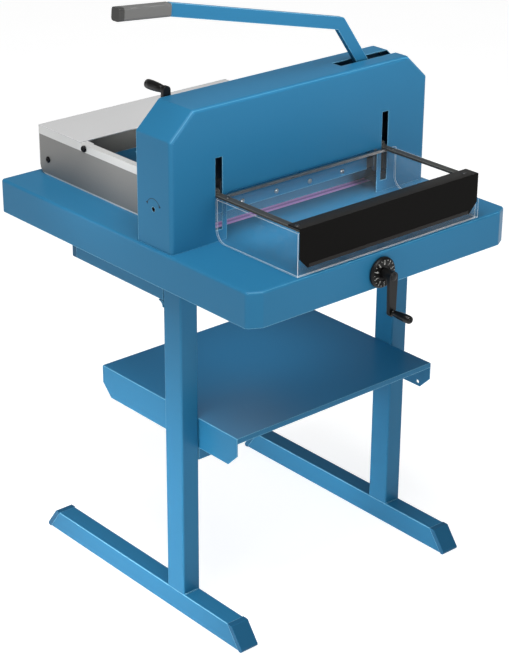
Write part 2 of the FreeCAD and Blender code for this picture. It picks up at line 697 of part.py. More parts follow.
table = cut(
    table,
    box((f"-{PAD_IN}", PAD_IN), ("table_front + apron", "table_back - apron"), DEEP),
    side_cell,
    mirror(side_cell),
    box(("-stick_half - snug", "stick_half + snug"), GROOVE, (up("0 - stick_high"), up("1"))),
    box(STEM_X, STEM_Y, (UNDER, up("1"))),
    rod("y", SPINDLE, ("table_front - 1", "table_front + apron + 1"), "front_bush_r"),
    *bolt_holes)
node("table_top", table)
node("cutting_stick", box(
    ("-stick_half", "stick_half"), ("stick_y", "stick_y + stick_w"), (up("0 - stick_high"), "table_z")))

# Housing: a folded sheet with sloping shoulders, closed by a rear panel.
SKIN = "(sqrt(slope_x * slope_x + slope_z * slope_z))"


def house(inset):
    """The housing's end view, moved in by a formula on every side but the lowest."""
    half = f"(house_half - {inset})"
    foot_z = f"(table_z + house_high - slope_z - {inset} * ({SKIN} - slope_z) / slope_x)"
    top_z = f"(table_z + house_high - {inset})"
    top_x = f"(house_half - slope_x - {inset} * ({SKIN} - slope_x) / slope_z)"
    return [
        (f"-{half}", "table_z"), (half, "table_z"), (half, foot_z),
        (top_x, top_z), (f"-{top_x}", top_z), (f"-{half}", foot_z),
    ]


def shoulder(way, middle, around):
    return near(abs(way.y), 1) and middle.z > around.ZMin + 1


def front_edge(way, middle, around):
    return near(middle.y, around.YMin) and not (near(middle.z, around.ZMin) and near(abs(way.x), 1))


outer = rounded(slab("y", house("0"), ("0", "house_deep")), "slope_bend", shoulder)
outer = rounded(outer, "bend", front_edge)
hollow = slab("y", house("house_wall"), ("house_wall", "house_deep + 5"))
hollow = rounded(hollow, "slope_bend - house_wall", shoulder)
hollow = rounded(hollow, "bend - house_wall", front_edge)
slot_tool = box(
    ("arm_x - slot_w / 2", "arm_x + slot_w / 2"), ("-1", "house_wall + 1"),
    (up("slot_low"), up("slot_low + slot_high")))
LEVER_SLOT_Y = ("lever_y - lever_slot_w / 2", "lever_y + lever_slot_w / 2")
lever_slot = box(
    ("lever_slot_x", "house_half + 1"), LEVER_SLOT_Y, (up("lever_slot_low"), up("house_high + 1")))
node("housing_shell", cut(
    outer, hollow, slot_tool, mirror(slot_tool), lever_slot,
    box(("-throat_half", "throat_half"), ("-1", "house_wall + 1"), (up("0 - 1"), up("throat_high"))),
    rod("x", ("adjust_y", up("adjust_up")), ("-house_half - 1", "-house_half + house_wall + 1"),
        "adjust_r + run_gap")))

BACK = ("house_deep - house_wall", "house_deep")
CLAMP_SHAFT = ("crank_x", up("crank_up"))
# Four screws in a row, in pitches from the middle.
ROW_OF_FOUR = (-1.5, -0.5, 0.5, 1.5)
BACK_SCREWS = [f"{step} * back_screw_x" for step in ROW_OF_FOUR]
BACK_SCREW_Z = up("back_screw_up")
back_panel = slab("y", house("(house_wall + panel_gap)"), BACK)
node("housing_back", cut(
    back_panel,
    box(("-back_open_half", "back_open_half"), ("house_deep - house_wall - 1", "house_deep + 1"),
        (up("0 - 1"), up("beam_low"))),
    rod("y", CLAMP_SHAFT, ("rear_beam_front", "house_deep + 1"), "collar_r"),
    *[rod("y", (x, BACK_SCREW_Z), ("rear_beam_front", "house_deep + 1"), "shelf_screw + snug")
      for x in BACK_SCREWS]))

# Frame inside: two side frames, a front and a rear beam.
SIDE_OUT = "(house_half - house_wall)"
SIDE_IN = "side_in"
SIDE_TOP = up("house_high - slope_z - side_drop")
side = slab("y", [
    (SIDE_OUT, "table_z"),
    (SIDE_OUT, SIDE_TOP),
    (SIDE_IN, SIDE_TOP),
    (SIDE_IN, up("side_foot_high")),
    (f"{SIDE_IN} - side_foot", up("side_foot_high")),
    (f"{SIDE_IN} - side_foot", "table_z"),
], ("side_front", BACK[0]))
side = cut(side, *[
    rod("z", ("frame_bolt_x", y), (up("0 - 1"), up("bolt_in")), "bolt_r") for y in FRAME_BOLTS])
node("right_side_frame", cut(side, box(
    (f"{SIDE_IN} - 1", f"{SIDE_OUT} + 1"), LEVER_SLOT_Y, (up("lever_slot_low"), f"{SIDE_TOP} + 1"))))
node("left_side_frame", cut(mirror(side), rod(
    "x", ("adjust_y", up("adjust_up")), (f"-{SIDE_OUT} - 1", f"-{SIDE_IN} + 1"), "adjust_r + bore_gap")))


def beam(span):
    inset = "(house_half - slope_x - beam_inset)"
    rise = f"{SIDE_TOP} + beam_rise"
    return slab("y", [
        (f"-{SIDE_IN}", up("beam_low")), (SIDE_IN, up("beam_low")), (SIDE_IN, SIDE_TOP),
        (inset, rise), (f"-{inset}", rise), (f"-{SIDE_IN}", SIDE_TOP),
    ], span)


FRONT_BEAM = ("beam_front", "beam_front + beam_thick")
REAR_BEAM = ("rear_beam_front", BACK[0])
LEVER_SHAFT = ("lever_x", "lever_z")
node("front_beam", cut(beam(FRONT_BEAM), rod("y", LEVER_SHAFT, ("0", "house_deep"), "bush_r")))
node("rear_beam", cut(
    beam(REAR_BEAM),
    rod("y", LEVER_SHAFT, ("0", "house_deep"), "bush_r"),
    rod("y", CLAMP_SHAFT, ("0", "house_deep"), "clamp_shaft_r + bore_gap"),
    *[rod("y", (x, BACK_SCREW_Z), ("rear_beam_front - 1", "house_deep"), "shelf_screw") for x in BACK_SCREWS]))

bolts = []
for x in ("-frame_bolt_x", "frame_bolt_x"):
    for y in FRAME_BOLTS:
        bolts.append(screw("z", (x, y), PLATE_LOW, -1, "bolt_head", "bolt_head_high", "bolt_r",
                           "table_plate + bolt_in"))
for x in ("-post_x", "post_x"):
    for y in STAND_BOLTS:
        bolts.append(screw("z", (x, y), f"{UNDER} - rail_high", -1, "bolt_head", "bolt_head_high", "bolt_r",
                           "rail_high + bolt_in"))
for x in BACK_SCREWS:
    bolts.append(screw("y", (x, BACK_SCREW_Z), "house_deep", 1, "shelf_screw_head", "shelf_screw_high",
                       "shelf_screw", "shelf_screw_long"))
node("frame_bolts", group(*bolts))

# Throat: a fixed plate under the front beam and the knife's guide frame behind it.
PLATE_FRONT = "(beam_front + beam_thick)"
PLATE_REAR = f"({PLATE_FRONT} + plate_thick)"
CARRIER = ("carrier_front", "carrier_front + carrier_thick")
GUIDE_FACE = "(carrier_front - run_gap)"
GUIDE_REAR = "(carrier_front + carrier_thick + run_gap)"
THROAT_XS = [f"{step} * throat_screw_x" for step in ROW_OF_FOUR]
THROAT_Z = up("throat_screw_up")
node("throat_plate", cut(
    box(("-plate_half", "plate_half"), (PLATE_FRONT, PLATE_REAR), (up("plate_low"), up("plate_top"))),
    *[rod("y", (x, THROAT_Z), ("0", PLATE_REAR + " + 1"), "throat_screw + snug") for x in THROAT_XS]))
node("throat_screws", group(*[
    screw("y", (x, THROAT_Z), PLATE_FRONT, -1, "throat_head", "throat_head_high", "throat_screw",
          f"{GUIDE_FACE} - {PLATE_FRONT}")
    for x in THROAT_XS]))

GUIDE_X = ("carrier_half - guide_lap", "carrier_half + run_gap + guide_web")
GUIDE_Z = (up("guide_low"), up("guide_top"))
guide = cut(
    box(GUIDE_X, (PLATE_FRONT, f"{GUIDE_REAR} + guide_lip"), GUIDE_Z),
    box(("carrier_half - guide_lap - 1", "carrier_half + run_gap"), (GUIDE_FACE, GUIDE_REAR),
        (up("guide_low - 1"), up("guide_top + 1"))))
window = box(
    ("carrier_half", "carrier_half + run_gap + guide_web + 1"),
    (GUIDE_FACE, f"{GUIDE_REAR} + guide_lip + 1"), (up("guide_low - 1"), up("window_top")))
strip = box(
    ("-carrier_half + guide_lap", "carrier_half - guide_lap"), (PLATE_REAR, GUIDE_FACE),
    (up("strip_low"), up("strip_low + strip_high")))
strip = cut(strip, *[rod("y", (x, THROAT_Z), ("0", CARRIER[0]), "throat_screw") for x in THROAT_XS])
node("knife_guide_frame", join(strip, mirror(guide), cut(guide, window)))

# Knife: carrier with a lug for the drive, knife with a bevel, screws from behind.
REST_PIN_X = "(lever_x + crank_r * cos(crank_swing))"
REST_PIN_Z = "(lever_z + crank_r * sin(crank_swing))"
LOW_PIN_Z = f"({REST_PIN_Z} - link_long)"
carrier = box(
    ("-carrier_half", "carrier_half"), CARRIER, (up("carrier_low"), up("carrier_low + carrier_high")))
lug = box(
    ("carrier_half", f"{SIDE_IN} - lug_end_gap"), CARRIER, (up("lug_low"), up("lug_low + lug_high")))
lug_slot = box(
    (f"{REST_PIN_X} - pin_r - pin_float", "lever_x + crank_r + pin_r + pin_float"),
    ("carrier_front - 1", "carrier_front + carrier_thick + 1"),
    (f"{LOW_PIN_Z} - pin_r - pin_float", f"{LOW_PIN_Z} + pin_r + pin_float"))
KNIFE_XS = [f"{step} * knife_screw_x" for step in ROW_OF_FOUR]
KNIFE_Z = up("knife_screw_up")
KNIFE_BACK = "(carrier_front + carrier_thick + knife_thick)"
node("knife_carrier", cut(
    join(carrier, lug), lug_slot,
    *[rod("y", (x, KNIFE_Z), (f"{KNIFE_BACK} - knife_screw_long", KNIFE_BACK), "knife_screw")
      for x in KNIFE_XS]))
knife = slab("x", [
    (CARRIER[1], up("knife_lift + bevel")),
    (KNIFE_BACK, up("knife_lift")),
    (KNIFE_BACK, up("knife_lift + knife_high")),
    (CARRIER[1], up("knife_lift + knife_high")),
], ("-knife_half", "knife_half"))
node("knife", cut(knife, *[
    rod("y", (x, KNIFE_Z), ("carrier_front", f"{KNIFE_BACK} + 1"), "knife_screw + snug") for x in KNIFE_XS]))
node("knife_screws", group(*[
    screw("y", (x, KNIFE_Z), KNIFE_BACK, 1, "knife_head", "knife_head_high", "knife_screw", "knife_screw_long")
    for x in KNIFE_XS]))

ADJUST = ("adjust_y", up("adjust_up"))
adjust_end = "(-house_half + adjust_long)"
socket = slab("x", [
    (f"adjust_y + adjust_socket * {2 / math.sqrt(3) * math.cos(math.radians(60 * step)):.6f}",
     f"table_z + adjust_up + adjust_socket * {2 / math.sqrt(3) * math.sin(math.radians(60 * step)):.6f}")
    for step in range(6)], ("-house_half - 1", "-house_half + adjust_deep"))
node("depth_adjuster", cut(join(
    rod("x", ADJUST, ("-house_half + run_gap", adjust_end), "adjust_r"),
    rod("x", ADJUST, (f"-{SIDE_IN} + run_gap", adjust_end), "adjust_collar")), socket))

# Lever: a bent flat bar on a shaft through both beams, with a plastic grip.
BAR = ("lever_y - lever_thick / 2", "lever_y + lever_thick / 2")
ELBOW = (
    "(lever_x + lever_low_long * cos(lever_low_turn))",
    "(lever_z + lever_low_long * sin(lever_low_turn))")
ARM_END = (
    f"({ELBOW[0]} + lever_up_long * cos(lever_up_turn))",
    f"({ELBOW[1]} + lever_up_long * sin(lever_up_turn))")
lever = join(
    leg(LEVER_SHAFT, "lever_low_turn", "lever_low_long", "lever_w", "lever_thick"),
    rod("y", ELBOW, BAR, "lever_w / 2"),
    leg(ELBOW, "lever_up_turn", "lever_up_long", "lever_w", "lever_thick"),
    leg(ARM_END, "grip_turn", "tang_long", "tang_w", "tang_thick"),
    rod("y", LEVER_SHAFT, BAR, "hub_r"),
    rod("y", (REST_PIN_X, REST_PIN_Z), BAR, "lobe_r"))
PIN = (REST_PIN_X, REST_PIN_Z)
node("lever_bar", cut(
    lever,
    rod("y", LEVER_SHAFT, ("0", "house_deep"), "shaft_r"),
    rod("y", PIN, ("0", "house_deep"), "pin_r")))


def grip_part(first, last, name, hollow_long):
    """A rounded rectangular length of grip, along the grip's own line."""
    body = slab("x", rect(("-grip_deep / 2", "grip_deep / 2"), ("-lever_w / 2", "lever_w / 2")), (first, last))
    body = rounded(body, "grip_round", along("x"))
    if hollow_long:
        body = cut(body, box(
            (f"{first} - 1", hollow_long),
            ("-tang_thick / 2 - snug", "tang_thick / 2 + snug"),
            ("-tang_w / 2 - snug", "tang_w / 2 + snug")))
    turned = group(body)
    turned.Placement = FreeCAD.Placement(V(), FreeCAD.Rotation(V(0, -1, 0), 1))
    bind(turned, "Placement.Rotation.Angle", "grip_turn")
    put(turned, ARM_END[0], "lever_y", ARM_END[1])
    node(name, group(turned))


grip_part("grip_seat", "grip_long", "lever_grip", "tang_long + face_gap")
grip_part("grip_long", "grip_long + grip_cap", "lever_grip_cap", "")

SHAFT_END = "(house_deep - house_wall - clamp_rest)"
node("lever_shaft", rod("y", LEVER_SHAFT, ("beam_front - pin_float", SHAFT_END), "shaft_r"))
node("lever_bushes", group(*[
    cut(rod("y", LEVER_SHAFT, span, "bush_r"), rod("y", LEVER_SHAFT, ("0", "house_deep"), "shaft_r + bore_gap"))
    for span in (FRONT_BEAM, REAR_BEAM)]))
LINK = (f"{BAR[1]} + face_gap", f"{BAR[1]} + face_gap + link_thick")
CRANK_HEAD = (f"{LINK[1]} + face_gap", f"{LINK[1]} + face_gap + pin_head_high")
node("crank_pin", join(rod("y", PIN, (BAR[0], CRANK_HEAD[1]), "pin_r"), rod("y", PIN, CRANK_HEAD, "pin_head")))
LOW_PIN = (REST_PIN_X, LOW_PIN_Z)
link = join(
    rod("y", PIN, LINK, "link_half"),
    rod("y", LOW_PIN, LINK, "link_half"),
    box((f"{REST_PIN_X} - link_half", f"{REST_PIN_X} + link_half"), LINK, (LOW_PIN_Z, REST_PIN_Z)),
    rod("y", LOW_PIN, ("carrier_front + clamp_rest", LINK[0]), "pin_r"))
node("drive_link", cut(link, rod("y", PIN, ("0", "house_deep"), "pin_r + bore_gap")))

# Clamp: a beam on two rods, lifted by a rack and the pinion of the rear crank.
CLAMP = ("clamp_front", "clamp_front + clamp_thick")
CLAMP_Z = (up("clamp_rest"), up("clamp_rest + clamp_high"))
ROD_Y = "clamp_front + clamp_thick / 2"
clamp = cut(
    box(("-clamp_half", "clamp_half"), CLAMP, CLAMP_Z),
    *[rod("z", (x, ROD_Y), ("table_z", up("beam_low")), "rod_r + bore_gap") for x in ("-rod_x", "rod_x")])
node("clamp_beam", clamp)
node("clamp_guides", group(*[
    rod("z", (x, ROD_Y), ("table_z", up("beam_low")), "rod_r") for x in ("-rod_x", "rod_x")]))
TEETH = 12
FULL_TURN = 360
PITCH = f"{2 * math.pi / TEETH:.6f} * pitch_r"
RACK_FACE = "(crank_x - pitch_r - rack_root)"
RACK_Y = ("clamp_front - rack_deep", "clamp_front")
rack_teeth = []
for step in range(-2, 8):
    low = f"{up('crank_up')} - ({step} + 0.5) * {PITCH} - tooth_w / 2"
    rack_teeth.append(box((RACK_FACE, "crank_x - pitch_r + rack_tip"), RACK_Y, (low, f"{low} + tooth_w")))
node("clamp_rack", join(
    box((f"{RACK_FACE} - rack_w", RACK_FACE), RACK_Y, (CLAMP_Z[0], up("rack_top"))), *rack_teeth))


def tooth(turn):
    """One tooth of the pinion, standing out from its shaft at an angle in degrees."""
    item = doc.addObject("Part::Box", "tooth")
    bind(item, "Length", "tip_r")
    bind(item, "Width", "rack_deep - 2 * face_gap")
    bind(item, "Height", "tooth_w")
    item.Placement = FreeCAD.Placement(V(), FreeCAD.Rotation(V(0, -1, 0), turn))
    sine = f"{math.sin(math.radians(turn)):.6f}"
    cosine = f"{math.cos(math.radians(turn)):.6f}"
    put(item, f"crank_x + tooth_w / 2 * {sine}", f"{RACK_Y[0]} + face_gap",
        f"{up('crank_up')} - tooth_w / 2 * {cosine}")
    return item


ARM_FACE = "(house_deep + arm_gap)"
ARM = (ARM_FACE, f"{ARM_FACE} + arm_thick")
node("clamp_shaft", join(
    rod("y", CLAMP_SHAFT, (RACK_Y[0], ARM[1]), "clamp_shaft_r"),
    rod("y", CLAMP_SHAFT, (f"{RACK_Y[0]} + face_gap", f"{RACK_Y[1]} - face_gap"), "root_r"),
    rod("y", CLAMP_SHAFT, (f"{RACK_Y[1]} + face_gap", "rear_beam_front - face_gap"), "collar_r"),
    *[tooth(FULL_TURN * step / TEETH) for step in range(TEETH)]))


def crank_arm(hub, tip, hub_r, tip_r, plate, sign):
    """A tapering plate with round ends; the tip stands above (+1) or below (-1) the hub."""
    side = [(f"{hub[0]} - {hub_r}", hub[1]), (f"{tip[0]} - {tip_r}", tip[1]),
            (f"{tip[0]} + {tip_r}", tip[1]), (f"{hub[0]} + {hub_r}", hub[1])]
    if sign < 0:
        side.reverse()
    return join(slab("y", side, plate), rod("y", hub, plate, hub_r), rod("y", tip, plate, tip_r))


CLAMP_TIP = ("crank_x", up("crank_up + clamp_arm"))
clamp_axle_end = f"{ARM[1]} + clamp_grip_long - grip_end_wall - face_gap"
node("clamp_crank_arm", join(
    cut(crank_arm(CLAMP_SHAFT, CLAMP_TIP, "clamp_arm_hub", "clamp_arm_tip", ARM, 1),
        rod("y", CLAMP_SHAFT, ("0", f"{ARM[1]} + 1"), "clamp_shaft_r")),
    rod("y", CLAMP_TIP, (ARM[1], clamp_axle_end), "axle_r")))
cone = doc.addObject("Part::Cone", "taper")
cone.Placement = FreeCAD.Placement(V(), ALONG["y"])
bind(cone, "Radius1", "clamp_grip_r")
bind(cone, "Radius2", "clamp_grip_small")
bind(cone, "Height", "clamp_grip_long - face_gap")
put(cone, CLAMP_TIP[0], f"{ARM[1]} + face_gap", CLAMP_TIP[1])
node("clamp_crank_grip", cut(cone, rod(
    "y", CLAMP_TIP, (ARM[1], f"{ARM[1]} + clamp_grip_long - grip_end_wall"), "axle_r + bore_gap")))

# Front guard: a clear hood with a black front panel on two arms.
EYE = ("pivot_y", up("pivot_up"))
HOOD_TOP = up("hood_top")
hood = rounded(
    slab("x", rect(("hood_front", "hood_back"), (up("hood_low"), HOOD_TOP)), ("hood_left", "hood_right")),
    "hood_round",
    lambda way, middle, around:
        near(abs(way.x), 1) and near(middle.y, around.YMax) and near(middle.z, around.ZMin))
hood = rounded(
    hood, "hood_bend",
    lambda way, middle, around: near(abs(way.y), 1) and near(middle.z, around.ZMax))
GUARD_XS = ("-arm_x", "arm_x")
GUARD_YS = ("guard_screw_y", "guard_screw_back")
ARM_TOP = f"({HOOD_TOP} + arm_bar)"
FLANGE_TOP = f"({ARM_TOP} + panel_thick)"
screw_tools = {
    y: [rod("z", (x, y), (f"{HOOD_TOP} - hood_wall - 1", f"{FLANGE_TOP} + 1"), "guard_screw + snug")
        for x in GUARD_XS]
    for y in GUARD_YS}
node("guard_hood", cut(
    hood,
    box(("hood_left + hood_wall", "hood_right - hood_wall"), ("hood_front + hood_wall", "hood_back + 1"),
        (up("hood_low - 1"), f"{HOOD_TOP} - hood_wall")),
    *screw_tools["guard_screw_y"], *screw_tools["guard_screw_back"]))
panel = slab("y", [
    ("panel_left + panel_cut", up("panel_low")),
    ("panel_right - panel_cut", up("panel_low")),
    ("panel_right", up("panel_low + panel_cut")),
    ("panel_right", FLANGE_TOP),
    ("panel_left", FLANGE_TOP),
    ("panel_left", up("panel_low + panel_cut")),
], ("hood_front - panel_thick", "hood_front"))
lip = box(
    ("panel_left", "panel_right"), ("hood_front - panel_thick", "hood_front + panel_lip"), (ARM_TOP, FLANGE_TOP))
node("guard_front_panel", cut(join(panel, lip), *screw_tools["guard_screw_y"]))
ARM_X = ("arm_x - arm_w / 2", "arm_x + arm_w / 2")
arm = join(
    box(ARM_X, ("hood_front", "pivot_y"), (HOOD_TOP, ARM_TOP)),
    rod("x", EYE, ARM_X, "eye_r"))
arm = cut(
    arm, rod("x", EYE, ("arm_x - arm_w", "arm_x + arm_w"), "guard_pin + bore_gap"),
    screw_tools["guard_screw_y"][1], screw_tools["guard_screw_back"][1])
node("guard_right_arm", arm)
node("guard_left_arm", mirror(arm))
node("guard_rod", box(
    ("arm_w / 2 - arm_x", ARM_X[0]),
    ("rod_back - rod_wide", "rod_back"), (HOOD_TOP, f"{HOOD_TOP} + rod_wide")))
BLOCK_OUT = "(arm_x - arm_w / 2 - block_gap)"
block = join(
    box((f"{BLOCK_OUT} - block_w", BLOCK_OUT), ("pivot_y - block_fore", PLATE_FRONT),
        (up("block_low"), up("beam_low"))),
    rod("x", EYE, (BLOCK_OUT, "arm_x + arm_w / 2 + block_gap"), "guard_pin"))
node("guard_hinges", group(block, mirror(block)))
guard_screws = []
for y, seat in zip(GUARD_YS, (FLANGE_TOP, ARM_TOP)):
    for x in GUARD_XS:
        guard_screws.append(screw("z", (x, y), seat, 1, "guard_head", "guard_head_high", "guard_screw",
                                  f"{seat} - {HOOD_TOP} + hood_wall"))
node("guard_screws", group(*guard_screws))

# Rear guard: two side profiles, a back and a cover that swings up at its rear end.
RAIL_Z = (up("rear_high"), up("rear_high + rear_rail_high"))
COVER = ("cover_y", up("rear_high + rear_rail_high - cover_down"))
REAR_IN = "(rear_half - rear_wall)"
RAIL_IN = "(rear_half - rear_rail_w)"
SIDE_SCREW = ("side_screw_y", up("side_screw_up"))
wall = rounded(
    slab("x", rect(("house_deep", "rear_end"), ("table_z", RAIL_Z[0])), (REAR_IN, "rear_half")),
    "rear_round",
    lambda way, middle, around:
        near(abs(way.x), 1) and near(middle.y, around.YMax) and near(middle.z, around.ZMin))
wall = cut(
    join(wall, box((RAIL_IN, "rear_half"), ("house_deep", "rear_end"), RAIL_Z)),
    rod("x", COVER, (f"{RAIL_IN} - 1", "rear_half + 1"), "knob_shank"),
    rod("x", SIDE_SCREW, (f"{RAIL_IN} - 1", "rear_half + 1"), "knob_shank + snug"))
node("rear_guard_right_side", wall)
node("rear_guard_left_side", mirror(wall))
flange = box((f"{REAR_IN} - back_thick", REAR_IN), ("rear_end - back_thick - back_flange", "rear_end"),
             ("table_z", RAIL_Z[0]))
back_wall = box((f"-{REAR_IN}", REAR_IN), ("rear_end - back_thick", "rear_end"), ("table_z", RAIL_Z[0]))
node("rear_guard_back", cut(
    join(back_wall, flange, mirror(flange)),
    rod("x", SIDE_SCREW, ("-rear_half", "rear_half"), "knob_shank")))
EAR_OUT = f"({RAIL_IN} - run_gap)"
ear = box((f"{EAR_OUT} - ear_thick", EAR_OUT), ("cover_y - cover_fore", "cover_y - cover_fore + ear_w"),
          (up("rear_high + seam"), RAIL_Z[1]))
cover = join(
    box(("-rear_half", "rear_half"), ("cover_y + cover_lap", "rear_end"),
        (RAIL_Z[1], f"{RAIL_Z[1]} + cover_thick")),
    box((f"-{EAR_OUT}", EAR_OUT), ("rear_end - cover_thick", "rear_end"), (up("rear_high + seam"), RAIL_Z[1])),
    ear, mirror(ear))
node("rear_cover", cut(cover, rod("x", COVER, ("-rear_half", "rear_half"), "knob_shank + bore_gap")))
knob = screw("x", COVER, "rear_half", 1, "knob_r", "knob_long", "knob_shank", "rear_rail_w + run_gap + ear_thick")
side_screw = screw("x", SIDE_SCREW, "rear_half", 1, "knob_r", "knob_long / 2", "knob_shank", "side_screw_long")
node("rear_guard_screws", group(knob, side_screw, mirror(knob), mirror(side_screw)))
node("side_guide", box(
    (f"-{REAR_IN}", f"-{REAR_IN} + guide_w"), ("house_deep + seam", "guide_end"),
    ("table_z", up("guide_high"))))

# Back gauge: a fence on a nut, moved by the spindle of the front crank.
GAUGE_LOW = up("gauge_gap")
SPINDLE_Z = SPINDLE[1]
foot_plate = box(
    ("-gauge_half", "gauge_half"), ("gauge_y + gauge_thick", "gauge_y + gauge_thick + gauge_foot"),
    (GAUGE_LOW, f"{GAUGE_LOW} + gauge_foot_high"))
ribs = [
    slab("x", [
        ("gauge_y + gauge_thick", f"{GAUGE_LOW} + gauge_foot_high"),
        ("gauge_y + gauge_thick + gauge_foot", f"{GAUGE_LOW} + gauge_foot_high"),
        ("gauge_y + gauge_thick", up("gauge_high")),
    ], (f"{share} * gauge_half - gauge_thick / 2", f"{share} * gauge_half + gauge_thick / 2"))
    for share in (-0.7, 0, 0.7)]
node("back_gauge", join(
    box(("-gauge_half", "gauge_half"), ("gauge_y", "gauge_y + gauge_thick"), (GAUGE_LOW, up("gauge_high"))),
    foot_plate, *ribs))
NUT_Y = ("nut_y", "nut_y + nut_long")
NUT_TOP = f"({PLATE_LOW} - nut_drop)"
node("gauge_nut", cut(
    join(
        box(("spindle_x - nut_half", "spindle_x + nut_half"), NUT_Y, (f"{SPINDLE_Z} - nut_under", NUT_TOP)),
        box(("spindle_x - stem_half", "spindle_x + stem_half"), NUT_Y, (NUT_TOP, GAUGE_LOW))),
    rod("y", SPINDLE, ("nut_y - 1", "nut_y + nut_long + 1"), "spindle_r + bore_gap")))
HUB_FRONT = "(table_front - dial_gap - dial_thick - hub_long)"
node("gauge_spindle", rod("y", SPINDLE, (HUB_FRONT, "spindle_end"), "spindle_r"))
bore = rod("y", SPINDLE, ("table_front - 1", "table_back"), "spindle_r + bore_gap")
node("spindle_bearings", group(
    cut(rod("y", SPINDLE, ("table_front", "table_front + apron"), "front_bush_r"), bore),
    cut(box(("spindle_x - rear_block_half", "spindle_x + rear_block_half"),
            ("rear_block_y", "rear_block_y + rear_block_deep"), (up("0 - rear_block_low"), PLATE_LOW)), bore)))
DIAL = ("table_front - dial_gap - dial_thick", "table_front - dial_gap")
node("front_dial", cut(
    rod("y", SPINDLE, DIAL, "dial_r"), rod("y", SPINDLE, ("table_front - 30", "table_front"), "spindle_r")))
PLATE = (HUB_FRONT, f"{HUB_FRONT} + arm_thick")
FRONT_TIP = ("spindle_x", f"{SPINDLE_Z} - front_arm")
node("front_crank_arm", join(
    cut(
        join(crank_arm(SPINDLE, FRONT_TIP, "front_hub_r", "front_tip_r", PLATE, -1),
             rod("y", SPINDLE, (HUB_FRONT, DIAL[0]), "front_hub_r")),
        rod("y", SPINDLE, (f"{HUB_FRONT} - 1", "table_front"), "spindle_r")),
    rod("y", FRONT_TIP, (f"{HUB_FRONT} - front_grip_long + grip_end_wall + face_gap", HUB_FRONT), "axle_r")))
GRIP_FRONT = f"{HUB_FRONT} - front_grip_long"
node("front_crank_grip", cut(
    rod("y", FRONT_TIP, (GRIP_FRONT, f"{HUB_FRONT} - face_gap"), "front_grip_r"),
    rod("y", FRONT_TIP, (f"{GRIP_FRONT} + grip_end_wall", HUB_FRONT), "axle_r + bore_gap")))

doc.recompute()
for item in doc.Objects:
    if "Invalid" in item.State or "Error" in item.State:
        raise RuntimeError(f"{item.Label} did not build: {item.State}")
for piece in nodes:
    shape = piece.Shape
    if shape.isNull() or not shape.isValid() or not shape.Solids:
        raise RuntimeError(f"{piece.Label} has no sound shape")
    shape.exportStep(f"parts/{piece.Label}.step")
    around = shape.BoundBox
    print(piece.Label, len(shape.Solids), [round(value, 1) for value in (
        around.XMin, around.XMax, around.YMin, around.YMax, around.ZMin, around.ZMax)])
print(len(nodes), "nodes")
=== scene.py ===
"""A stack paper cutter on its stand, of enamelled steel. A clear hood is hinged in front, and the
rear bay has a lifting cover. The long lever works the knife, the small crank works the clamp, and
the front crank works the back gauge."""
import json
import math

import bmesh
import bpy
from mathutils import Matrix, Vector


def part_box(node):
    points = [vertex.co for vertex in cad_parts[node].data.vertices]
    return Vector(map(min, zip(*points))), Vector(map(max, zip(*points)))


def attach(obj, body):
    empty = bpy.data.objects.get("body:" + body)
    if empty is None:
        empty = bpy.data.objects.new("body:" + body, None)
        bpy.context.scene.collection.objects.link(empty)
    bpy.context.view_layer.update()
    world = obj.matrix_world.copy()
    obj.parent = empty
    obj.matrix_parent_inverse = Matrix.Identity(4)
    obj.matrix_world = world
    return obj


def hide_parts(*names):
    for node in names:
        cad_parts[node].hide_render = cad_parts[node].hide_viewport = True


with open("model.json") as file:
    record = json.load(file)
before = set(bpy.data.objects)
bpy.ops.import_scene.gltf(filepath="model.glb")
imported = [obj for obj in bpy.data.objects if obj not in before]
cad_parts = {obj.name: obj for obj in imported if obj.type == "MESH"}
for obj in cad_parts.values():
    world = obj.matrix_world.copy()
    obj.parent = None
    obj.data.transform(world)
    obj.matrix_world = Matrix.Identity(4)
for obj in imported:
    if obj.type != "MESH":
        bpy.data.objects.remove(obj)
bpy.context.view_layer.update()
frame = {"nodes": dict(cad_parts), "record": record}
MM = 0.001

# Camera: where the photograph was taken from, and its height and focal length in pixels.
PHOTO_HIGH = 658
FOCAL_PIXELS = 1851.3
EYE = Vector((-2.3521, -2.7232, 2.1814))
HEADING = 0.8555
PITCH = 0.4271
ROLL = 0.006
SENSOR = 36.0


def aim_camera():
    """Puts the camera where the photograph was taken."""
    lens = bpy.data.cameras.new("photo_camera")
    lens.sensor_fit = "VERTICAL"
    lens.sensor_height = SENSOR
    lens.lens = FOCAL_PIXELS / PHOTO_HIGH * SENSOR
    camera = bpy.data.objects.new("photo_camera", lens)
    bpy.context.scene.collection.objects.link(camera)
    ahead = Vector((
        math.cos(HEADING) * math.cos(PITCH), math.sin(HEADING) * math.cos(PITCH), -math.sin(PITCH)))
    camera.location = EYE
    level = ahead.to_track_quat("-Z", "Y").to_matrix()
    camera.rotation_euler = (level @ Matrix.Rotation(ROLL, 3, "Z")).to_euler()
    bpy.context.scene.camera = camera


aim_camera()


# Light: a pale studio. A soft light stands at the left rear, one hangs over the front, a narrow one
# picks out the housing, and a low one lights the stand from its left. Small ones fill the shelf,
# the rear bay, the rear guard's side and the throat.
def soft_light(name, place, target, size, power, spread=180, height=None):
    """A soft light that faces the target, square unless it has a height of its own."""
    panel = bpy.data.lights.new(name, "AREA")
    panel.shape = "RECTANGLE"
    panel.size = size
    panel.size_y = height or size
    panel.energy = power
    panel.spread = math.radians(spread)
    lamp = bpy.data.objects.new(name, panel)
    lamp.location = place
    lamp.rotation_euler = (Vector(target) - Vector(place)).to_track_quat("-Z", "Y").to_euler()
    lamp.visible_camera = False
    bpy.context.scene.collection.objects.link(lamp)


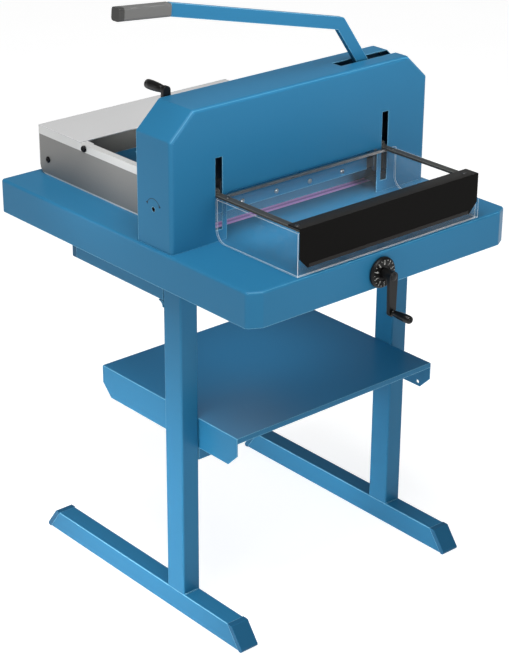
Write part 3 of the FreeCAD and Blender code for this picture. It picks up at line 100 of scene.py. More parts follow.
MIDDLE = (0.05, 0.0, 0.7)
UPPER_PART = (0.1, 0.0, 1.5)
STAND_FOOT = (0.1, 0.05, 0.08)
SHELF = (0.04, 0.05, 0.45)
REAR_BAY = (0.08, 0.39, 0.89)
REAR_SIDE = (-0.22, 0.06, 0.87)
THROAT = (0.04, -0.125, 0.845)
soft_light("key_light", (-2.6, 1.7, 2.2), MIDDLE, 1.0, 3)
soft_light("top_light", (-1.0, -0.9, 3.9), MIDDLE, 2.2, 135)
soft_light("housing_light", (0.2, -3.2, 1.3), UPPER_PART, 0.8, 2.6, 32)
soft_light("side_glow", (-1.5, 0.1, 0.35), STAND_FOOT, 0.7, 1.9, 32)
soft_light("shelf_light", (0.04, 0.07, 0.72), SHELF, 0.35, 0.7)
soft_light("rear_bay_light", (0.04, 0.02, 0.93), REAR_BAY, 0.08, 0.6, 60)
soft_light("rear_side_light", (-0.6, 0.36, 0.96), REAR_SIDE, 0.2, 0.07, 45)
soft_light("throat_light", (0.04, -0.31, 0.9), THROAT, 0.42, 0.13, 40, height=0.03)


# Materials.
def linear(code):
    """The linear colour of an sRGB hex code."""
    colour = []
    for at in (1, 3, 5):
        part = int(code[at:at + 2], 16) / 255
        colour.append(part / 12.92 if part <= 0.04045 else ((part + 0.055) / 1.055) ** 2.4)
    return colour + [1]


def add(material, kind, sockets=None, **settings):
    """Adds a node with its settings, and fills or links its sockets."""
    node = material.node_tree.nodes.new("ShaderNode" + kind)
    for key, value in settings.items():
        setattr(node, key, value)
    for key, value in (sockets or {}).items():
        if isinstance(value, bpy.types.NodeSocket):
            material.node_tree.links.new(value, node.inputs[key])
        else:
            node.inputs[key].default_value = value
    return node


def start(name, **sockets):
    """A new material with its shader, and the object's own coordinates."""
    material = bpy.data.materials.new(name)
    material.use_nodes = True
    shader = material.node_tree.nodes["Principled BSDF"]
    for key, value in sockets.items():
        shader.inputs[key.replace("_", " ")].default_value = value
    return material, shader, add(material, "TexCoord").outputs["Object"]


def paint_on(material, shader, patterns):
    """Links the shader's sockets to the patterns that fill them."""
    for socket, pattern in patterns.items():
        material.node_tree.links.new(pattern.outputs[0], shader.inputs[socket])
    return material


# Bends: the samples that round an edge, and the cosine of the turn that counts as a full bend.
EDGE_SAMPLES = 6
FULL_BEND = 0.86
# Painted highlight line on wide bends: how a surface faces halfway between two square sides, and
# how far up it must face to get the line.
HALFWAY = math.sqrt(0.5)
RISING = 0.3


def bends(material, rounded):
    """How near the surface is to a rounded edge: 0 on flats, up to 1 on the bend."""
    flat = add(material, "NewGeometry").outputs["Normal"]
    same = add(material, "VectorMath", {0: rounded.outputs[0], 1: flat}, operation="DOT_PRODUCT")
    near = add(material, "MapRange", {
        "Value": same.outputs["Value"], "From Min": 1.0, "From Max": FULL_BEND})
    return near.outputs[0]


def painted_ridge_highlight(material, axis, strength, width):
    """A painted highlight line along the middle of a wide bend, between the front (Y) or the left
    side
    (X) and what slopes or lies above it, only where the surface faces upward."""
    facing = add(material, "SeparateXYZ", {0: add(material, "NewGeometry").outputs["Normal"]})
    off = add(material, "Math", {0: facing.outputs[axis], 1: HALFWAY}, operation="ADD")
    off = add(material, "Math", {0: off.outputs[0]}, operation="ABSOLUTE")
    line = add(material, "MapRange", {
        "Value": off.outputs[0], "From Min": 0.3 * width, "From Max": width,
        "To Min": strength, "To Max": 0.0})
    rising = add(material, "Math", {0: facing.outputs["Z"], 1: RISING}, operation="GREATER_THAN")
    seen = add(material, "Math", {0: line.outputs[0], 1: rising.outputs[0]}, operation="MULTIPLY")
    return seen.outputs[0]


# The enamel coat: the size of its clouds, how far they lighten or darken it, and its orange peel.
COAT_CLOUD = 140 * MM
COAT_DRIFT = 0.02
COAT_PEEL = 3.2 * MM


def enamel(name, shade, bend_highlight, roughness=0.34, line="Y", bright=0.24, width=0.1):
    """Stoved enamel on steel: an even, half glossy coat with faint orange peel, with a pale painted
    highlight over the bends and a painted highlight line along the middle of the wide bends. A
    real peel's cells are about 1 mm wide. They are drawn at 3.2 mm, so that they show."""
    material, shader, place = start(name, Roughness=roughness, Specular_IOR_Level=0.12)
    rounded = add(material, "Bevel", {"Radius": 2.2 * MM}, samples=EDGE_SAMPLES)
    # Painted highlight: the coat turns to the pale highlight colour over the bends and along the
    # ridge line.
    bend = add(
        material, "Math", {0: bends(material, rounded), 1: painted_ridge_highlight(material, line, bright, width)},
        operation="MAXIMUM")
    coat = add(material, "MixRGB", {
        "Fac": bend.outputs[0], "Color1": linear(shade), "Color2": linear(bend_highlight)})
    cloud = add(material, "TexNoise", {"Vector": place, "Scale": 1 / COAT_CLOUD, "Detail": 3.0})
    drift = add(material, "MapRange", {
        "Value": cloud.outputs["Fac"], "To Min": 1 - COAT_DRIFT, "To Max": 1 + COAT_DRIFT})
    tone = add(material, "HueSaturation", {"Color": coat.outputs[0], "Value": drift.outputs[0]})
    peel = add(material, "TexNoise", {"Vector": place, "Scale": 1 / COAT_PEEL, "Detail": 1.0})
    bump = add(material, "Bump", {
        "Height": peel.outputs["Fac"], "Normal": rounded.outputs[0],
        "Strength": 0.10, "Distance": 0.15 * MM})
    return paint_on(material, shader, {"Base Color": tone, "Normal": bump})


# Worked metal: the pale colour of the highlight painted on its edges and bands, and how many times
# longer than wide its lines are.
HIGHLIGHT_METAL = "#D0D0CE"
LINE_LENGTH = 60


def worked_metal(name, shade, dark, roughness, grain, along, highlight_bands=None):
    """Metal drawn, brushed or ground along one direction: fine lines that streak the highlights,
    and a painted highlight along the edges. With highlight bands, it is a dull anodised sheet with
    a painted highlight above the first height, below the second and behind the third place. Real
    lines are about 0.1 mm apart. They are drawn at 0.35 to 0.6 mm, so that they show."""
    material, shader, place = start(name, Metallic=0.35 if highlight_bands else 1.0)
    rounded = add(material, "Bevel", {"Radius": 0.8 * MM}, samples=EDGE_SAMPLES)
    stretch = [1 / grain] * 3
    stretch["xyz".index(along)] = 1 / (grain * LINE_LENGTH)
    along_it = add(material, "Mapping", {"Vector": place, "Scale": stretch}).outputs[0]
    lines = add(material, "TexNoise", {"Vector": along_it, "Scale": 1.0, "Detail": 4.0})
    streaks = add(material, "MixRGB", {
        "Fac": lines.outputs["Fac"], "Color1": linear(dark), "Color2": linear(shade)})
    gloss = add(material, "MapRange", {
        "Value": lines.outputs["Fac"], "From Min": 0.3, "From Max": 0.7,
        "To Min": roughness * 0.8, "To Max": roughness * 1.25})
    bright = bends(material, rounded)
    if highlight_bands:
        spot = add(material, "SeparateXYZ", {0: place})
        for axis, limit, side in zip("ZZY", highlight_bands, ("GREATER_THAN", "LESS_THAN", "GREATER_THAN")):
            beyond = add(material, "Math", {0: spot.outputs[axis], 1: limit}, operation=side)
            bright = add(
                material, "Math", {0: bright, 1: beyond.outputs[0]}, operation="MAXIMUM").outputs[0]
    # Painted highlight: the edges and the bands turn to the pale highlight colour.
    colour = add(material, "MixRGB", {
        "Fac": bright, "Color1": streaks.outputs[0], "Color2": linear(HIGHLIGHT_METAL)})
    bump = add(material, "Bump", {
        "Height": lines.outputs["Fac"], "Normal": rounded.outputs[0],
        "Strength": 0.12, "Distance": 0.1 * MM})
    return paint_on(material, shader, {"Base Color": colour, "Roughness": gloss, "Normal": bump})


def plated_metal(name, shade, spot, roughness, grain):
    """Plated, blacked or sintered metal: small cloudy spots and a soft, even shine. The spots are
    drawn at 0.4 to 1 mm, several times their real size, so that they show."""
    material, shader, place = start(name, Metallic=1.0)
    rounded = add(material, "Bevel", {"Radius": 0.5 * MM}, samples=EDGE_SAMPLES)
    spots = add(material, "TexVoronoi", {"Vector": place, "Scale": 1 / grain, "Randomness": 1.0})
    cloud = add(material, "TexNoise", {"Vector": place, "Scale": 1 / (grain * 6), "Detail": 3.0})
    mixed = add(
        material, "Math", {0: spots.outputs["Distance"], 1: cloud.outputs["Fac"]},
        operation="MULTIPLY")
    colour = add(material, "MixRGB", {
        "Fac": mixed.outputs[0], "Color1": linear(shade), "Color2": linear(spot)})
    gloss = add(material, "MapRange", {
        "Value": cloud.outputs["Fac"], "To Min": roughness * 0.8, "To Max": roughness * 1.2})
    bump = add(material, "Bump", {
        "Height": spots.outputs["Distance"], "Normal": rounded.outputs[0],
        "Strength": 0.06, "Distance": 0.05 * MM})
    return paint_on(material, shader, {"Base Color": colour, "Roughness": gloss, "Normal": bump})


def moulded(name, shade, worn, roughness, grain, depth=0.25, shine=0.3):
    """Moulded plastic or textured paint: a fine, even grain, rubbed a little paler on the edges.
    The grain is drawn at 0.4 to 1.2 mm, two to three times its real size, so that it shows."""
    material, shader, place = start(name, Roughness=roughness, Specular_IOR_Level=shine)
    rounded = add(material, "Bevel", {"Radius": 0.9 * MM}, samples=EDGE_SAMPLES)
    skin = add(material, "TexNoise", {"Vector": place, "Scale": 1 / grain, "Detail": 2.0})
    cloud = add(material, "TexNoise", {"Vector": place, "Scale": 1 / (grain * 40), "Detail": 2.0})
    share = add(
        material, "Math", {0: bends(material, rounded), 1: cloud.outputs["Fac"]},
        operation="MULTIPLY")
    colour = add(material, "MixRGB", {
        "Fac": share.outputs[0], "Color1": linear(shade), "Color2": linear(worn)})
    bump = add(material, "Bump", {
        "Height": skin.outputs["Fac"], "Normal": rounded.outputs[0],
        "Strength": depth, "Distance": 0.1 * MM})
    return paint_on(material, shader, {"Base Color": colour, "Normal": bump})


def clear_sheet(name, tint, edge):
    """Clear acrylic sheet, bent and glued: nearly invisible on its faces, white along its cut edges
    and bends as a painted highlight, with a faint haze of wiping marks some 12 mm wide."""
    material, shader, place = start(name, IOR=1.49, Specular_IOR_Level=0.6)
    bend = bends(material, add(material, "Bevel", {"Radius": 1.6 * MM}, samples=16))
    wipes = add(material, "TexNoise", {"Vector": place, "Scale": 1 / (12 * MM), "Detail": 4.0})
    haze = add(material, "MapRange", {
        "Value": wipes.outputs["Fac"], "From Min": 0.35, "From Max": 0.7,
        "To Min": 0.01, "To Max": 0.03})
    solid = add(material, "Math", {0: haze.outputs[0], 1: bend}, operation="ADD", use_clamp=True)
    gloss = add(material, "MapRange", {
        "Value": wipes.outputs["Fac"], "From Min": 0.4, "To Min": 0.02, "To Max": 0.06})
    # Painted highlight: the edges and bends turn white and nearly opaque.
    colour = add(material, "MixRGB", {"Fac": bend, "Color1": linear(tint), "Color2": linear(edge)})
    return paint_on(material, shader, {"Base Color": colour, "Alpha": solid, "Roughness": gloss})


def scored_plastic(name, shade, deep, middle, half):
    """Soft plastic that a knife scores: even and matt, darkened along the middle. The scores are
    drawn 0.8 mm wide, wider than real ones, so that they show."""
    material, shader, place = start(name, Roughness=0.5, Subsurface_Weight=0.1)
    rounded = add(material, "Bevel", {"Radius": 0.8 * MM}, samples=EDGE_SAMPLES)
    fine = 1 / (0.8 * MM)
    along_it = add(material, "Mapping", {"Vector": place, "Scale": (2.0, fine, fine)}).outputs[0]
    scores = add(material, "TexNoise", {"Vector": along_it, "Scale": 1.0, "Detail": 2.0})
    across = add(material, "SeparateXYZ", {0: place}).outputs["Y"]
    off = add(material, "Math", {0: across, 1: middle}, operation="SUBTRACT")
    off = add(material, "Math", {0: off.outputs[0]}, operation="ABSOLUTE")
    near = add(material, "MapRange", {
        "Value": off.outputs[0], "From Min": half * 0.7, "From Max": half,
        "To Min": 0.85, "To Max": 0.15})
    share = add(
        material, "Math", {0: near.outputs[0], 1: scores.outputs["Fac"]}, operation="MULTIPLY")
    worn = add(
        material, "Math", {0: share.outputs[0], 1: 1.6}, operation="MULTIPLY", use_clamp=True)
    colour = add(material, "MixRGB", {
        "Fac": worn.outputs[0], "Color1": linear(shade), "Color2": linear(deep)})
    bump = add(material, "Bump", {
        "Height": scores.outputs["Fac"], "Normal": rounded.outputs[0],
        "Strength": 0.3, "Distance": 0.2 * MM})
    return paint_on(material, shader, {"Base Color": colour, "Normal": bump})


# Where a highlight is painted on the sides of the rear guard: on the top flange, the lower edge and
# the rear edge.
GUARD_LOW, GUARD_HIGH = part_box("rear_guard_left_side")
GUARD_FLANGE = 17 * MM
GUARD_FOOT = 3.2 * MM
GUARD_BACK = 2.2 * MM
GUARD_HIGHLIGHT_BANDS = (GUARD_HIGH.z - GUARD_FLANGE, GUARD_LOW.z + GUARD_FOOT, GUARD_HIGH.y - GUARD_BACK)

# The band that the knife wears into the cutting stick: its middle and its half width.
STICK_LOW, STICK_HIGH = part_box("cutting_stick")
STICK_MIDDLE = (STICK_LOW.y + STICK_HIGH.y) / 2
STICK_WORN = 4.5 * MM

BLUE = "#276C92"
HIGHLIGHT_BLUE = "#7FBEDD"
# The stand and shelf: their painted highlight line runs over the bends above the left sides (X),
# brighter and wider.
POST_LINE = {"line": "X", "bright": 0.8, "width": 0.24}
FINISHES = {
    # Blue enamel, stoved: even and half glossy, with a pale painted highlight along each fold.
    "stand_enamel": enamel("stoved_enamel_stand", BLUE, HIGHLIGHT_BLUE, **POST_LINE),
    "shelf_enamel": enamel("stoved_enamel_shelf", BLUE, HIGHLIGHT_BLUE, **POST_LINE),
    "table_enamel": enamel("stoved_enamel_table", BLUE, HIGHLIGHT_BLUE),
    "housing_enamel": enamel("stoved_enamel_housing", BLUE, HIGHLIGHT_BLUE),
    "lever_steel": enamel("stoved_enamel_lever", BLUE, HIGHLIGHT_BLUE, roughness=0.3),
    # The other enamels: duller, with wide soft highlights and a painted highlight on the edges.
    "clamp_paint": enamel("blue_grey_enamel_clamp", "#34617E", "#7F9FB4", roughness=0.4),
    "arm_paint": enamel("dark_grey_enamel_arms", "#3B3B39", "#767672", roughness=0.4),
    "cover_grey": enamel("pale_grey_enamel_cover", "#BDBDBD", "#E4E4E4", roughness=0.4),
    # Satin black paint on sheet: hardly any shine, one dark plane.
    "black_panel": moulded("satin_black_panel", "#0B0A09", "#353433", 0.45, 0.6 * MM, 0.12, 0.04),
    # Zinc plate: cool, bright and faintly cloudy. Blacked steel: dark, with a weak sheen.
    "zinc_screws": plated_metal("zinc_plated_steel", "#C9CACB", "#9FA1A3", 0.3, 0.8 * MM),
    "hinge_zinc": plated_metal("zinc_plated_hinges", "#C4C5C7", "#96989B", 0.34, 1.0 * MM),
    "black_screws": plated_metal("blacked_steel", "#1C1C1D", "#303032", 0.4, 0.7 * MM),
    # Sintered bronze: dull, brown and finely mottled.
    "bronze": plated_metal("sintered_bronze", "#9A7B45", "#6B5430", 0.45, 0.4 * MM),
    # Machined steel: grey, with upright tool lines. Ground steel: brighter, with finer lines.
    "frame_steel": worked_metal("machined_steel", "#A0A1A3", "#6C6D70", 0.38, 0.5 * MM, "z"),
    "knife_steel": worked_metal("ground_knife_steel", "#D0D1D3", "#94969A", 0.22, 0.35 * MM, "z"),
    # Aluminium: one long highlight on the drawn rod, a flat warm grey on the brushed and anodised
    # # guard with painted highlights on its flange and its lower and rear edges, and a paler,
    # streaked
    # # grey on the milled gauge.
    "rod_aluminium": worked_metal("drawn_aluminium_rod", "#A09D9B", "#7C7A78", 0.3, 0.4 * MM, "x"),
    "guard_aluminium": worked_metal(
        "brushed_aluminium_guard", "#8C8B88", "#767573", 0.5, 0.5 * MM, "y", GUARD_HIGHLIGHT_BANDS),
    "gauge_aluminium": worked_metal(
        "milled_aluminium_gauge", "#B4B6B8", "#86888B", 0.36, 0.6 * MM, "x"),
    # The cutting stick's plastic: pale pink, violet where it is scored.
    "stick_plastic": scored_plastic(
        "cutting_stick_plastic", "#F3BEFA", "#8A58A6", STICK_MIDDLE, STICK_WORN),
    # The lever's grip: coarse, dull grey plastic under a smoother, darker cap.
    "grip_plastic": moulded("grey_lever_grip", "#626261", "#8A8A88", 0.6, 1.2 * MM, 0.5, 0.2),
    "cap_plastic": moulded("dark_grip_cap", "#3C3C3B", "#6C6C6A", 0.5, 0.8 * MM, shine=0.2),
    # The cranks: a satin black dial, painted arms with rubbed edges and smooth, shiny grips.
    "dial_black": moulded("black_dial_plastic", "#0C0C0C", "#3C3C3C", 0.4, 0.5 * MM, shine=0.2),
    "crank_steel": moulded("black_painted_crank", "#0C0C0C", "#454545", 0.36, 0.9 * MM, shine=0.25),
    "crank_plastic": moulded("black_crank_grip", "#0A0A0A", "#3A3A3A", 0.28, 0.7 * MM, 0.1, 0.3),
    # Clear acrylic: only its edges and bends stand out, painted white as a highlight.
    "clear_acrylic": clear_sheet("clear_acrylic_hood", "#FAFDFD", "#F2F8FA"),
}

# The end caps: the same enamel darkened, a painted shade for the shaded ends of the feet, with only
# a faint painted highlight on the bends.
SHADED_CAP_ENAMEL = enamel("stoved_enamel_end_caps_painted_shade", "#20597B", "#2C7199")

for row in frame["record"]["subparts"]:
    finish = SHADED_CAP_ENAMEL if row["node"] == "tube_end_caps" else FINISHES[row["material_slot"]]
    for holder in frame["nodes"][row["node"]].material_slots:
        holder.material = finish


# Pieces that Blender shapes: turned grips, the dial, the hub cap, the trims of the front panel,
# screw heads, weld beads and the depth mark.
BODY_OF = {
    name: body for body, names in frame["record"]["behaviour"]["bodies"].items() for name in names}
SLOT_OF = {row["node"]: row["material_slot"] for row in frame["record"]["subparts"]}
# Corners that are nearer than this become one, and edges are sharp from this angle.
MERGE = 0.001 * MM
SHARP_FROM = math.radians(32)


def place_piece(name, mesh, slot, body, replaced=(), finish=None):
    """Turns a finished mesh into a piece that rides on a body, in its slot's finish or its own."""
    bmesh.ops.remove_doubles(mesh, verts=mesh.verts, dist=MERGE)
    bmesh.ops.recalc_face_normals(mesh, faces=mesh.faces)
    data = bpy.data.meshes.new(name)
    mesh.to_mesh(data)
    mesh.free()
    data.shade_smooth()
    data.set_sharp_from_angle(angle=SHARP_FROM)
    data.materials.append(finish or FINISHES[slot])
    piece = bpy.data.objects.new(name, data)
    bpy.context.scene.collection.objects.link(piece)
    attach(piece, body)
    if replaced:
        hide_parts(*replaced)


def turn(mesh, profile, base, axis, steps):
    """Adds a turned shape: (distance along the axis, radius) pairs, spun about the axis."""
    axis = Vector(axis)
    side = axis.orthogonal().normalized()
    spots = [
        mesh.verts.new(Vector(base) + axis * along + side * radius) for along, radius in profile]
    edges = [mesh.edges.new(pair) for pair in zip(spots, spots[1:])]
    bmesh.ops.spin(
        mesh, geom=spots + edges, cent=base, axis=axis, angle=2 * math.pi, steps=steps,
        use_merge=True)
    bmesh.ops.remove_doubles(mesh, verts=mesh.verts, dist=MERGE)
    bmesh.ops.dissolve_degenerate(mesh, edges=mesh.edges, dist=MERGE)


# The crank grips: the wall beyond the bore, the bore's radius and the dip in the rounded end.
GRIP_WALL = 4 * MM
BORE_R = 3.05 * MM
RECESS = 0.9 * MM


def crank_grip(node, toward):
    """A turned crank grip: a collar by the arm, a swelling body with two grooves and a rounded end,
    with a pin's head in the dip."""
    low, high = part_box(node)
    length = high.y - low.y
    radius = (high.x - low.x) / 2
    base = ((low.x + high.x) / 2, low.y if toward > 0 else high.y, (low.z + high.z) / 2)
    outline = [
        (0, 0.72), (0.06, 0.76), (0.09, 0.66), (0.12, 0.78), (0.40, 0.93), (0.68, 1), (0.84, 0.99),
        (0.86, 0.92), (0.88, 0.98), (0.95, 0.90), (0.985, 0.72), (1, 0.45)]
    profile = [(length - GRIP_WALL, 0), (length - GRIP_WALL, BORE_R), (0, BORE_R)]
    profile += [(along * length, wide * radius) for along, wide in outline]
    profile += [(length - RECESS, 0.40 * radius), (length - RECESS, 0)]
    mesh = bmesh.new()
    turn(mesh, profile, base, (0, toward, 0), 48)
    place_piece(node + "_turned", mesh, SLOT_OF[node], BODY_OF[node], [node])
    cap = bmesh.new()
    turn(cap, [(0, 0), (0, 0.36 * radius), (0.6 * RECESS, 0.32 * radius), (0.8 * RECESS, 0)],
         (base[0], base[1] + toward * (length - RECESS), base[2]), (0, toward, 0), 24)
    place_piece(node + "_end_pin", cap, "black_screws", BODY_OF[node])


crank_grip("clamp_crank_grip", 1)
crank_grip("front_crank_grip", -1)

# The dial on the front crank: a black disc with a raised scale ring, knurled at its rim. Every
# second tick is long and has a number.
DIAL_TICKS = 20
LONG_TICK = 2
TICK_WIDE = 1.1 * MM
TICK_THICK = 0.3 * MM
NUMERAL_THICK = 0.15 * MM
RIM_TEETH = 72
TOOTH_DEEP = 0.5 * MM
# Printed marks: flat, dull white ink.
MARK_WHITE = moulded("white_dial_marks", "#BDBDB8", "#DADAD6", 0.5, 0.4 * MM, 0.1)


def numeral(text, size, thick):
    """A flat numeral as a mesh, centred on the origin and facing up."""
    curve = bpy.data.curves.new("numeral", "FONT")
    curve.body = text
    curve.size = size
    curve.align_x = "CENTER"
    curve.align_y = "CENTER"
    curve.extrude = thick
    holder = bpy.data.objects.new("numeral", curve)
    bpy.context.scene.collection.objects.link(holder)
    shown = holder.evaluated_get(bpy.context.evaluated_depsgraph_get())
    data = bpy.data.meshes.new_from_object(shown)
    bpy.data.objects.remove(holder)
    bpy.data.curves.remove(curve)
    return data


def front_dial():
    """The dial's disc, its white marks and numbers."""
    low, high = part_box("front_dial")
    radius = (high.x - low.x) / 2
    thick = high.y - low.y
    middle = Vector(((low.x + high.x) / 2, high.y, (low.z + high.z) / 2))
    profile = [
        (0, 0), (0, 0.90 * radius), (0.12 * thick, radius), (0.55 * thick, radius),
        (0.72 * thick, 0.95 * radius), (0.86 * thick, 0.93 * radius), (0.98 * thick, 0.88 * radius),
        (0.98 * thick, 0.50 * radius), (0.80 * thick, 0.46 * radius), (0.80 * thick, 0)]
    disc = bmesh.new()
    turn(disc, profile, middle, (0, -1, 0), 2 * RIM_TEETH)
    for spot in disc.verts:
        out = spot.co - middle
        out.y = 0
        if out.length > 0.985 * radius:
            step = round(math.atan2(out.z, out.x) / math.pi * RIM_TEETH)
            if step % 2:
                spot.co -= out.normalized() * TOOTH_DEEP
    place_piece("front_dial_disc", disc, "dial_black", "gauge_crank", ["front_dial"])
    marks = bmesh.new()
    face = Matrix.Translation((middle.x, middle.y - 0.98 * thick, middle.z))
    upright = Matrix.Rotation(math.radians(90), 4, "X")
    for number in range(DIAL_TICKS):
        long = number % LONG_TICK == 0
        size = Vector((TICK_WIDE, TICK_THICK, (0.12 if long else 0.08) * radius))
        spin = Matrix.Rotation(2 * math.pi * number / DIAL_TICKS, 4, "Y")
        place = face @ spin @ Matrix.Translation((0, 0, 0.87 * radius - size.z / 2))
        bmesh.ops.create_cube(marks, size=1.0, matrix=place @ Matrix.Diagonal((*size, 1)))
        if long:
            data = numeral(str(number // LONG_TICK), 0.26 * radius, NUMERAL_THICK)
            data.transform(face @ spin @ Matrix.Translation((0, 0, 0.62 * radius)) @ upright)
            marks.from_mesh(data)
            bpy.data.meshes.remove(data)
    place_piece("front_dial_marks", marks, "dial_black", "gauge_crank", finish=MARK_WHITE)


front_dial()


def hub_cap():
    """A low domed cap over the spindle's end on the front crank's hub."""
    arm_low, arm_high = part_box("front_crank_arm")
    low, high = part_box("gauge_spindle")
    middle = (low + high) / 2
    radius = 0.72 * (arm_high.x - arm_low.x) / 2
    dome = [(0, 0), (0, radius), (1.2 * MM, 0.94 * radius), (2.2 * MM, 0.6 * radius), (2.5 * MM, 0)]
    mesh = bmesh.new()
    turn(mesh, dome, (middle.x, low.y, middle.z), (0, -1, 0), 32)
    place_piece("front_crank_hub_cap", mesh, "crank_steel", "gauge_crank")


hub_cap()


# The front panel's trims: a dark strip along its upper flange and a narrow one along its lower
# edge, in satin plastic that is a shade lighter than the panel. First, how far each strip stays
# from the sides, the front or the bottom of the panel.
FLANGE_SIDE = 1.0 * MM
FLANGE_FRONT = 1.2 * MM
EDGE_SIDE = 24 * MM
EDGE_BOTTOM = 0.5 * MM
EDGE_TOP = 7.5 * MM
TRIM_THICK = 0.4 * MM
TRIM_DARK = moulded("dark_satin_trim", "#232221", "#454443", 0.5, 0.6 * MM, 0.12, 0.1)


def panel_strip(name, low, high):
    """A flat strip on the front panel, between two corners, its edges eased."""
    mesh = bmesh.new()
    size = Vector(high) - Vector(low)
    middle = (Vector(high) + Vector(low)) / 2
    place = Matrix.Translation(middle)
    bmesh.ops.create_cube(mesh, size=1.0, matrix=place @ Matrix.Diagonal((*size, 1)))
    bmesh.ops.bevel(
        mesh, geom=mesh.edges[:], offset=0.3 * min(size), segments=3, profile=0.5, affect="EDGES",
        material=-1, clamp_overlap=True)
    place_piece(name, mesh, "black_panel", "guard", finish=TRIM_DARK)


PANEL_LOW, PANEL_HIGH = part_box("guard_front_panel")
panel_strip(
    "panel_flange_strip",
    (PANEL_LOW.x + FLANGE_SIDE, PANEL_LOW.y + FLANGE_FRONT, PANEL_HIGH.z),
    (PANEL_HIGH.x - FLANGE_SIDE, PANEL_HIGH.y, PANEL_HIGH.z + TRIM_THICK))
panel_strip(
    "panel_edge_strip",
    (PANEL_LOW.x + EDGE_SIDE, PANEL_LOW.y - TRIM_THICK, PANEL_LOW.z + EDGE_BOTTOM),
    (PANEL_HIGH.x - EDGE_SIDE, PANEL_LOW.y + TRIM_THICK, PANEL_LOW.z + EDGE_TOP))


# Screws: each CAD screw gets a domed head with a socket or a cross.
def islands(node):
    """The separate solids of a CAD node, each as a list of its corner points."""
    mesh = bmesh.new()
    mesh.from_mesh(frame["nodes"][node].data)
    bmesh.ops.remove_doubles(mesh, verts=mesh.verts, dist=MERGE)
    left = set(mesh.verts)
    found = []
    while left:
        grown = [left.pop()]
        for spot in grown:
            for edge in spot.link_edges:
                other = edge.other_vert(spot)
                if other in left:
                    left.remove(other)
                    grown.append(other)
        found.append([spot.co.copy() for spot in grown])
    mesh.free()
    return found


def screw_facts(points):
    """A screw's axis, the foot of its head, and its head and shank as (radius, length). It is round
    about the axis from which its points have the fewest distances."""
    low = Vector(min(p[i] for p in points) for i in range(3))
    high = Vector(max(p[i] for p in points) for i in range(3))
    middle = (low + high) / 2

    def distances(i):
        others = [j for j in range(3) if j != i]
        return [round(math.hypot(*(p[j] - middle[j] for j in others)) / MM, 1) for p in points]

    i = min(range(3), key=lambda along: len(set(distances(along))))
    radii = distances(i)
    head_r = max(radii) * MM
    spans = [p[i] for p, r in zip(points, radii) if r * MM > 0.97 * head_r]
    shank = [r for r in radii if 0 < r * MM < 0.97 * head_r]
    axis = Vector((0, 0, 0))
    up = 1 if abs(max(spans) - high[i]) < 0.01 * MM else -1
    axis[i] = up
    foot = middle.copy()
    foot[i] = min(spans) if up > 0 else max(spans)
    head = (head_r, max(spans) - min(spans))
    far = low[i] if up > 0 else high[i]
    return axis, foot, head, (max(shank, default=0) * MM, abs(far - foot[i]))


# The guard's screws: zinc plate gone dull, a soft dark grey.
DULL_SCREWS = plated_metal("dulled_zinc_screws", "#5C5D5E", "#3E3F40", 0.45, 0.8 * MM)


def dress_screws(node, arms=6, finish=None):
    """Domed screw heads with a socket of that many arms: 6 for a hexagon, 4 for a cross."""
    mesh = bmesh.new()
    for points in islands(node):
        axis, foot, (head_r, head_h), (shank_r, shank_l) = screw_facts(points)
        one = bmesh.new()
        socket = 0.46 * head_r
        profile = [
            (-shank_l, 0), (-shank_l, 0.8 * shank_r), (-shank_l + 0.3 * shank_r, shank_r),
            (0, shank_r), (0, head_r), (0.45 * head_h, head_r), (0.80 * head_h, 0.88 * head_r),
            (head_h, 0.66 * head_r), (head_h, socket), (0.35 * head_h, socket), (0.3 * head_h, 0)]
        turn(one, profile, foot, axis, 24)
        side = axis.orthogonal().normalized()
        for spot in one.verts:
            out = spot.co - foot
            out -= axis * out.dot(axis)
            if abs(out.length - socket) < 0.01 * MM:
                turned_by = out.angle(side)
                near = abs((turned_by + math.pi / arms) % (2 * math.pi / arms) - math.pi / arms)
                if arms == 6:
                    wanted = socket * math.cos(math.pi / arms) / math.cos(near)
                else:
                    wanted = socket * (1.0 if near < 0.2 else 0.4)
                spot.co += out.normalized() * (wanted - socket)
        part = bpy.data.meshes.new("screw")
        one.to_mesh(part)
        one.free()
        mesh.from_mesh(part)
        bpy.data.meshes.remove(part)
    place_piece(node + "_dressed", mesh, SLOT_OF[node], BODY_OF[node], [node], finish)


for screw_node in ("shelf_screws", "frame_bolts", "throat_screws", "knife_screws"):
    dress_screws(screw_node)
dress_screws("guard_screws", arms=4, finish=DULL_SCREWS)
dress_screws("rear_guard_screws")


# Weld beads: how far apart they lie, and how far from the post's corners they stop.
WELD_PITCH = 2.6 * MM
WELD_END = 4 * MM


def weld_beads():
    """Short weld beads where the posts stand on the feet: overlapping scales of a hand-made seam,
    each from 1.4 to 2.4 mm in radius."""
    mesh = bmesh.new()
    for side in ("left", "right"):
        foot_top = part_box(side + "_foot")[1].z
        low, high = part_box(side + "_post")
        count = int((high.x - low.x - 2 * WELD_END) / WELD_PITCH)
        for y, out in ((low.y, -1), (high.y, 1)):
            for step in range(count):
                x = low.x + WELD_END + (step + 0.5) * WELD_PITCH
                radius = (1.9 + 0.5 * math.sin(step * 2.4)) * MM
                place = Matrix.Translation((x, y + out * 0.4 * MM, foot_top + 0.2 * MM))
                bmesh.ops.create_icosphere(
                    mesh, subdivisions=2, radius=radius,
                    matrix=place @ Matrix.Diagonal((1.0, 1.25, 1.1, 1)))
    place_piece("post_weld_beads", mesh, "stand_enamel", "frame")


weld_beads()


# The mark over the depth adjuster: an arc with an arrow head at each end, in flat, dark ink.
ARC_REACH = math.radians(118)
ARC_INNER = 21 * MM
ARC_OUTER = 22.1 * MM
ARROW_MIDDLE = 21.5 * MM
ARROW_LONG = 3.4 * MM
ARROW_HALF = 2.9 * MM
INK_THICK = 0.12 * MM
MARK_DARK = moulded("dark_printed_mark", "#16202A", "#2A3A48", 0.6, 0.4 * MM, 0.1)


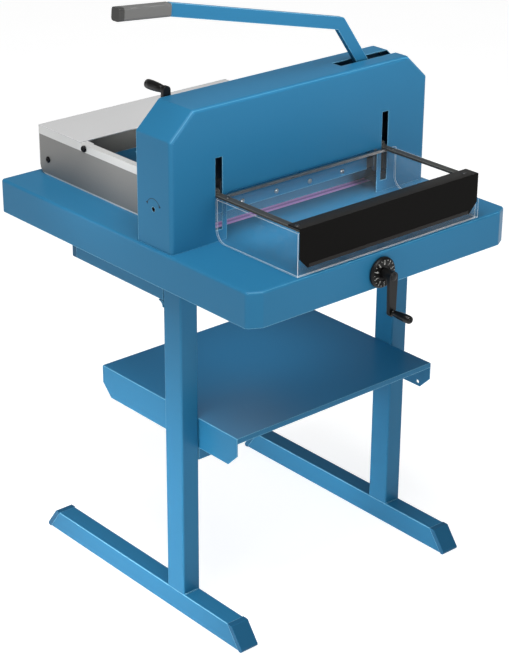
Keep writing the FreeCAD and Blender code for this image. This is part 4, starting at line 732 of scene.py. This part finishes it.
def depth_mark():
    """The printed arc that shows which way the depth adjuster turns."""
    low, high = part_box("depth_adjuster")
    middle = Vector((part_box("housing_shell")[0].x, (low.y + high.y) / 2, (low.z + high.z) / 2))
    mesh = bmesh.new()
    ends = [
        mesh.verts.new(middle + Matrix.Rotation(ARC_REACH / 2, 3, "X") @ Vector((0, 0, radius)))
        for radius in (ARC_INNER, ARC_OUTER)]
    edge = mesh.edges.new(ends)
    bmesh.ops.spin(
        mesh, geom=ends + [edge], cent=middle, axis=(1, 0, 0), angle=-ARC_REACH, steps=24,
        use_merge=False)
    for way in (1, -1):
        place = Matrix.Translation(middle) @ Matrix.Rotation(way * ARC_REACH / 2, 4, "X")
        head = [(way * ARROW_LONG, ARROW_MIDDLE), (-way * ARROW_LONG, ARROW_MIDDLE - ARROW_HALF),
                (-way * ARROW_LONG, ARROW_MIDDLE + ARROW_HALF)]
        mesh.faces.new([mesh.verts.new(place @ Vector((0, y, z))) for y, z in head])
    made = bmesh.ops.extrude_face_region(mesh, geom=mesh.faces[:])
    raised = [item for item in made["geom"] if isinstance(item, bmesh.types.BMVert)]
    bmesh.ops.translate(mesh, verts=raised, vec=(-INK_THICK, 0, 0))
    place_piece("depth_mark", mesh, "housing_enamel", "frame", finish=MARK_DARK)


depth_mark()


# Floor and background. The floor is so wide that its edge lies at the horizon, and it glows, so
# that it is nearly as pale as the background.
FLOOR_HALF = 300.0
FLOOR_CLOUD = 400 * MM
WHITE = "#FFFFFF"


def pale_floor():
    """A wide, pale floor of matt painted board, faintly clouded."""
    mesh = bmesh.new()
    bmesh.ops.create_grid(mesh, x_segments=2, y_segments=2, size=FLOOR_HALF)
    data = bpy.data.meshes.new("studio_floor")
    mesh.to_mesh(data)
    mesh.free()
    floor = bpy.data.objects.new("studio_floor", data)
    bpy.context.scene.collection.objects.link(floor)
    material, shader, place = start(
        "pale_studio_floor", Roughness=0.8, Specular_IOR_Level=0.1, Emission_Color=linear(WHITE),
        Emission_Strength=0.8)
    cloud = add(material, "TexNoise", {"Vector": place, "Scale": 1 / FLOOR_CLOUD, "Detail": 2.0})
    colour = add(material, "MixRGB", {
        "Fac": cloud.outputs["Fac"], "Color1": linear("#BABABA"), "Color2": linear("#C2C2C2")})
    data.materials.append(paint_on(material, shader, {"Base Color": colour}))


def pale_background():
    """A white surround, strong near the horizon and weaker overhead."""
    world = bpy.data.worlds.new("pale_studio")
    world.use_nodes = True
    sky = world.node_tree.nodes["Background"]
    way = add(world, "SeparateXYZ", {0: add(world, "TexCoord").outputs["Generated"]})
    veil = add(world, "MapRange", {
        "Value": way.outputs["Z"], "From Min": 0.06, "From Max": 0.3,
        "To Min": 0.6, "To Max": 0.22})
    world.node_tree.links.new(veil.outputs[0], sky.inputs["Strength"])
    sky.inputs["Color"].default_value = linear(WHITE)
    bpy.context.scene.world = world


pale_floor()
pale_background()
bpy.context.scene.view_settings.view_transform = "Standard"
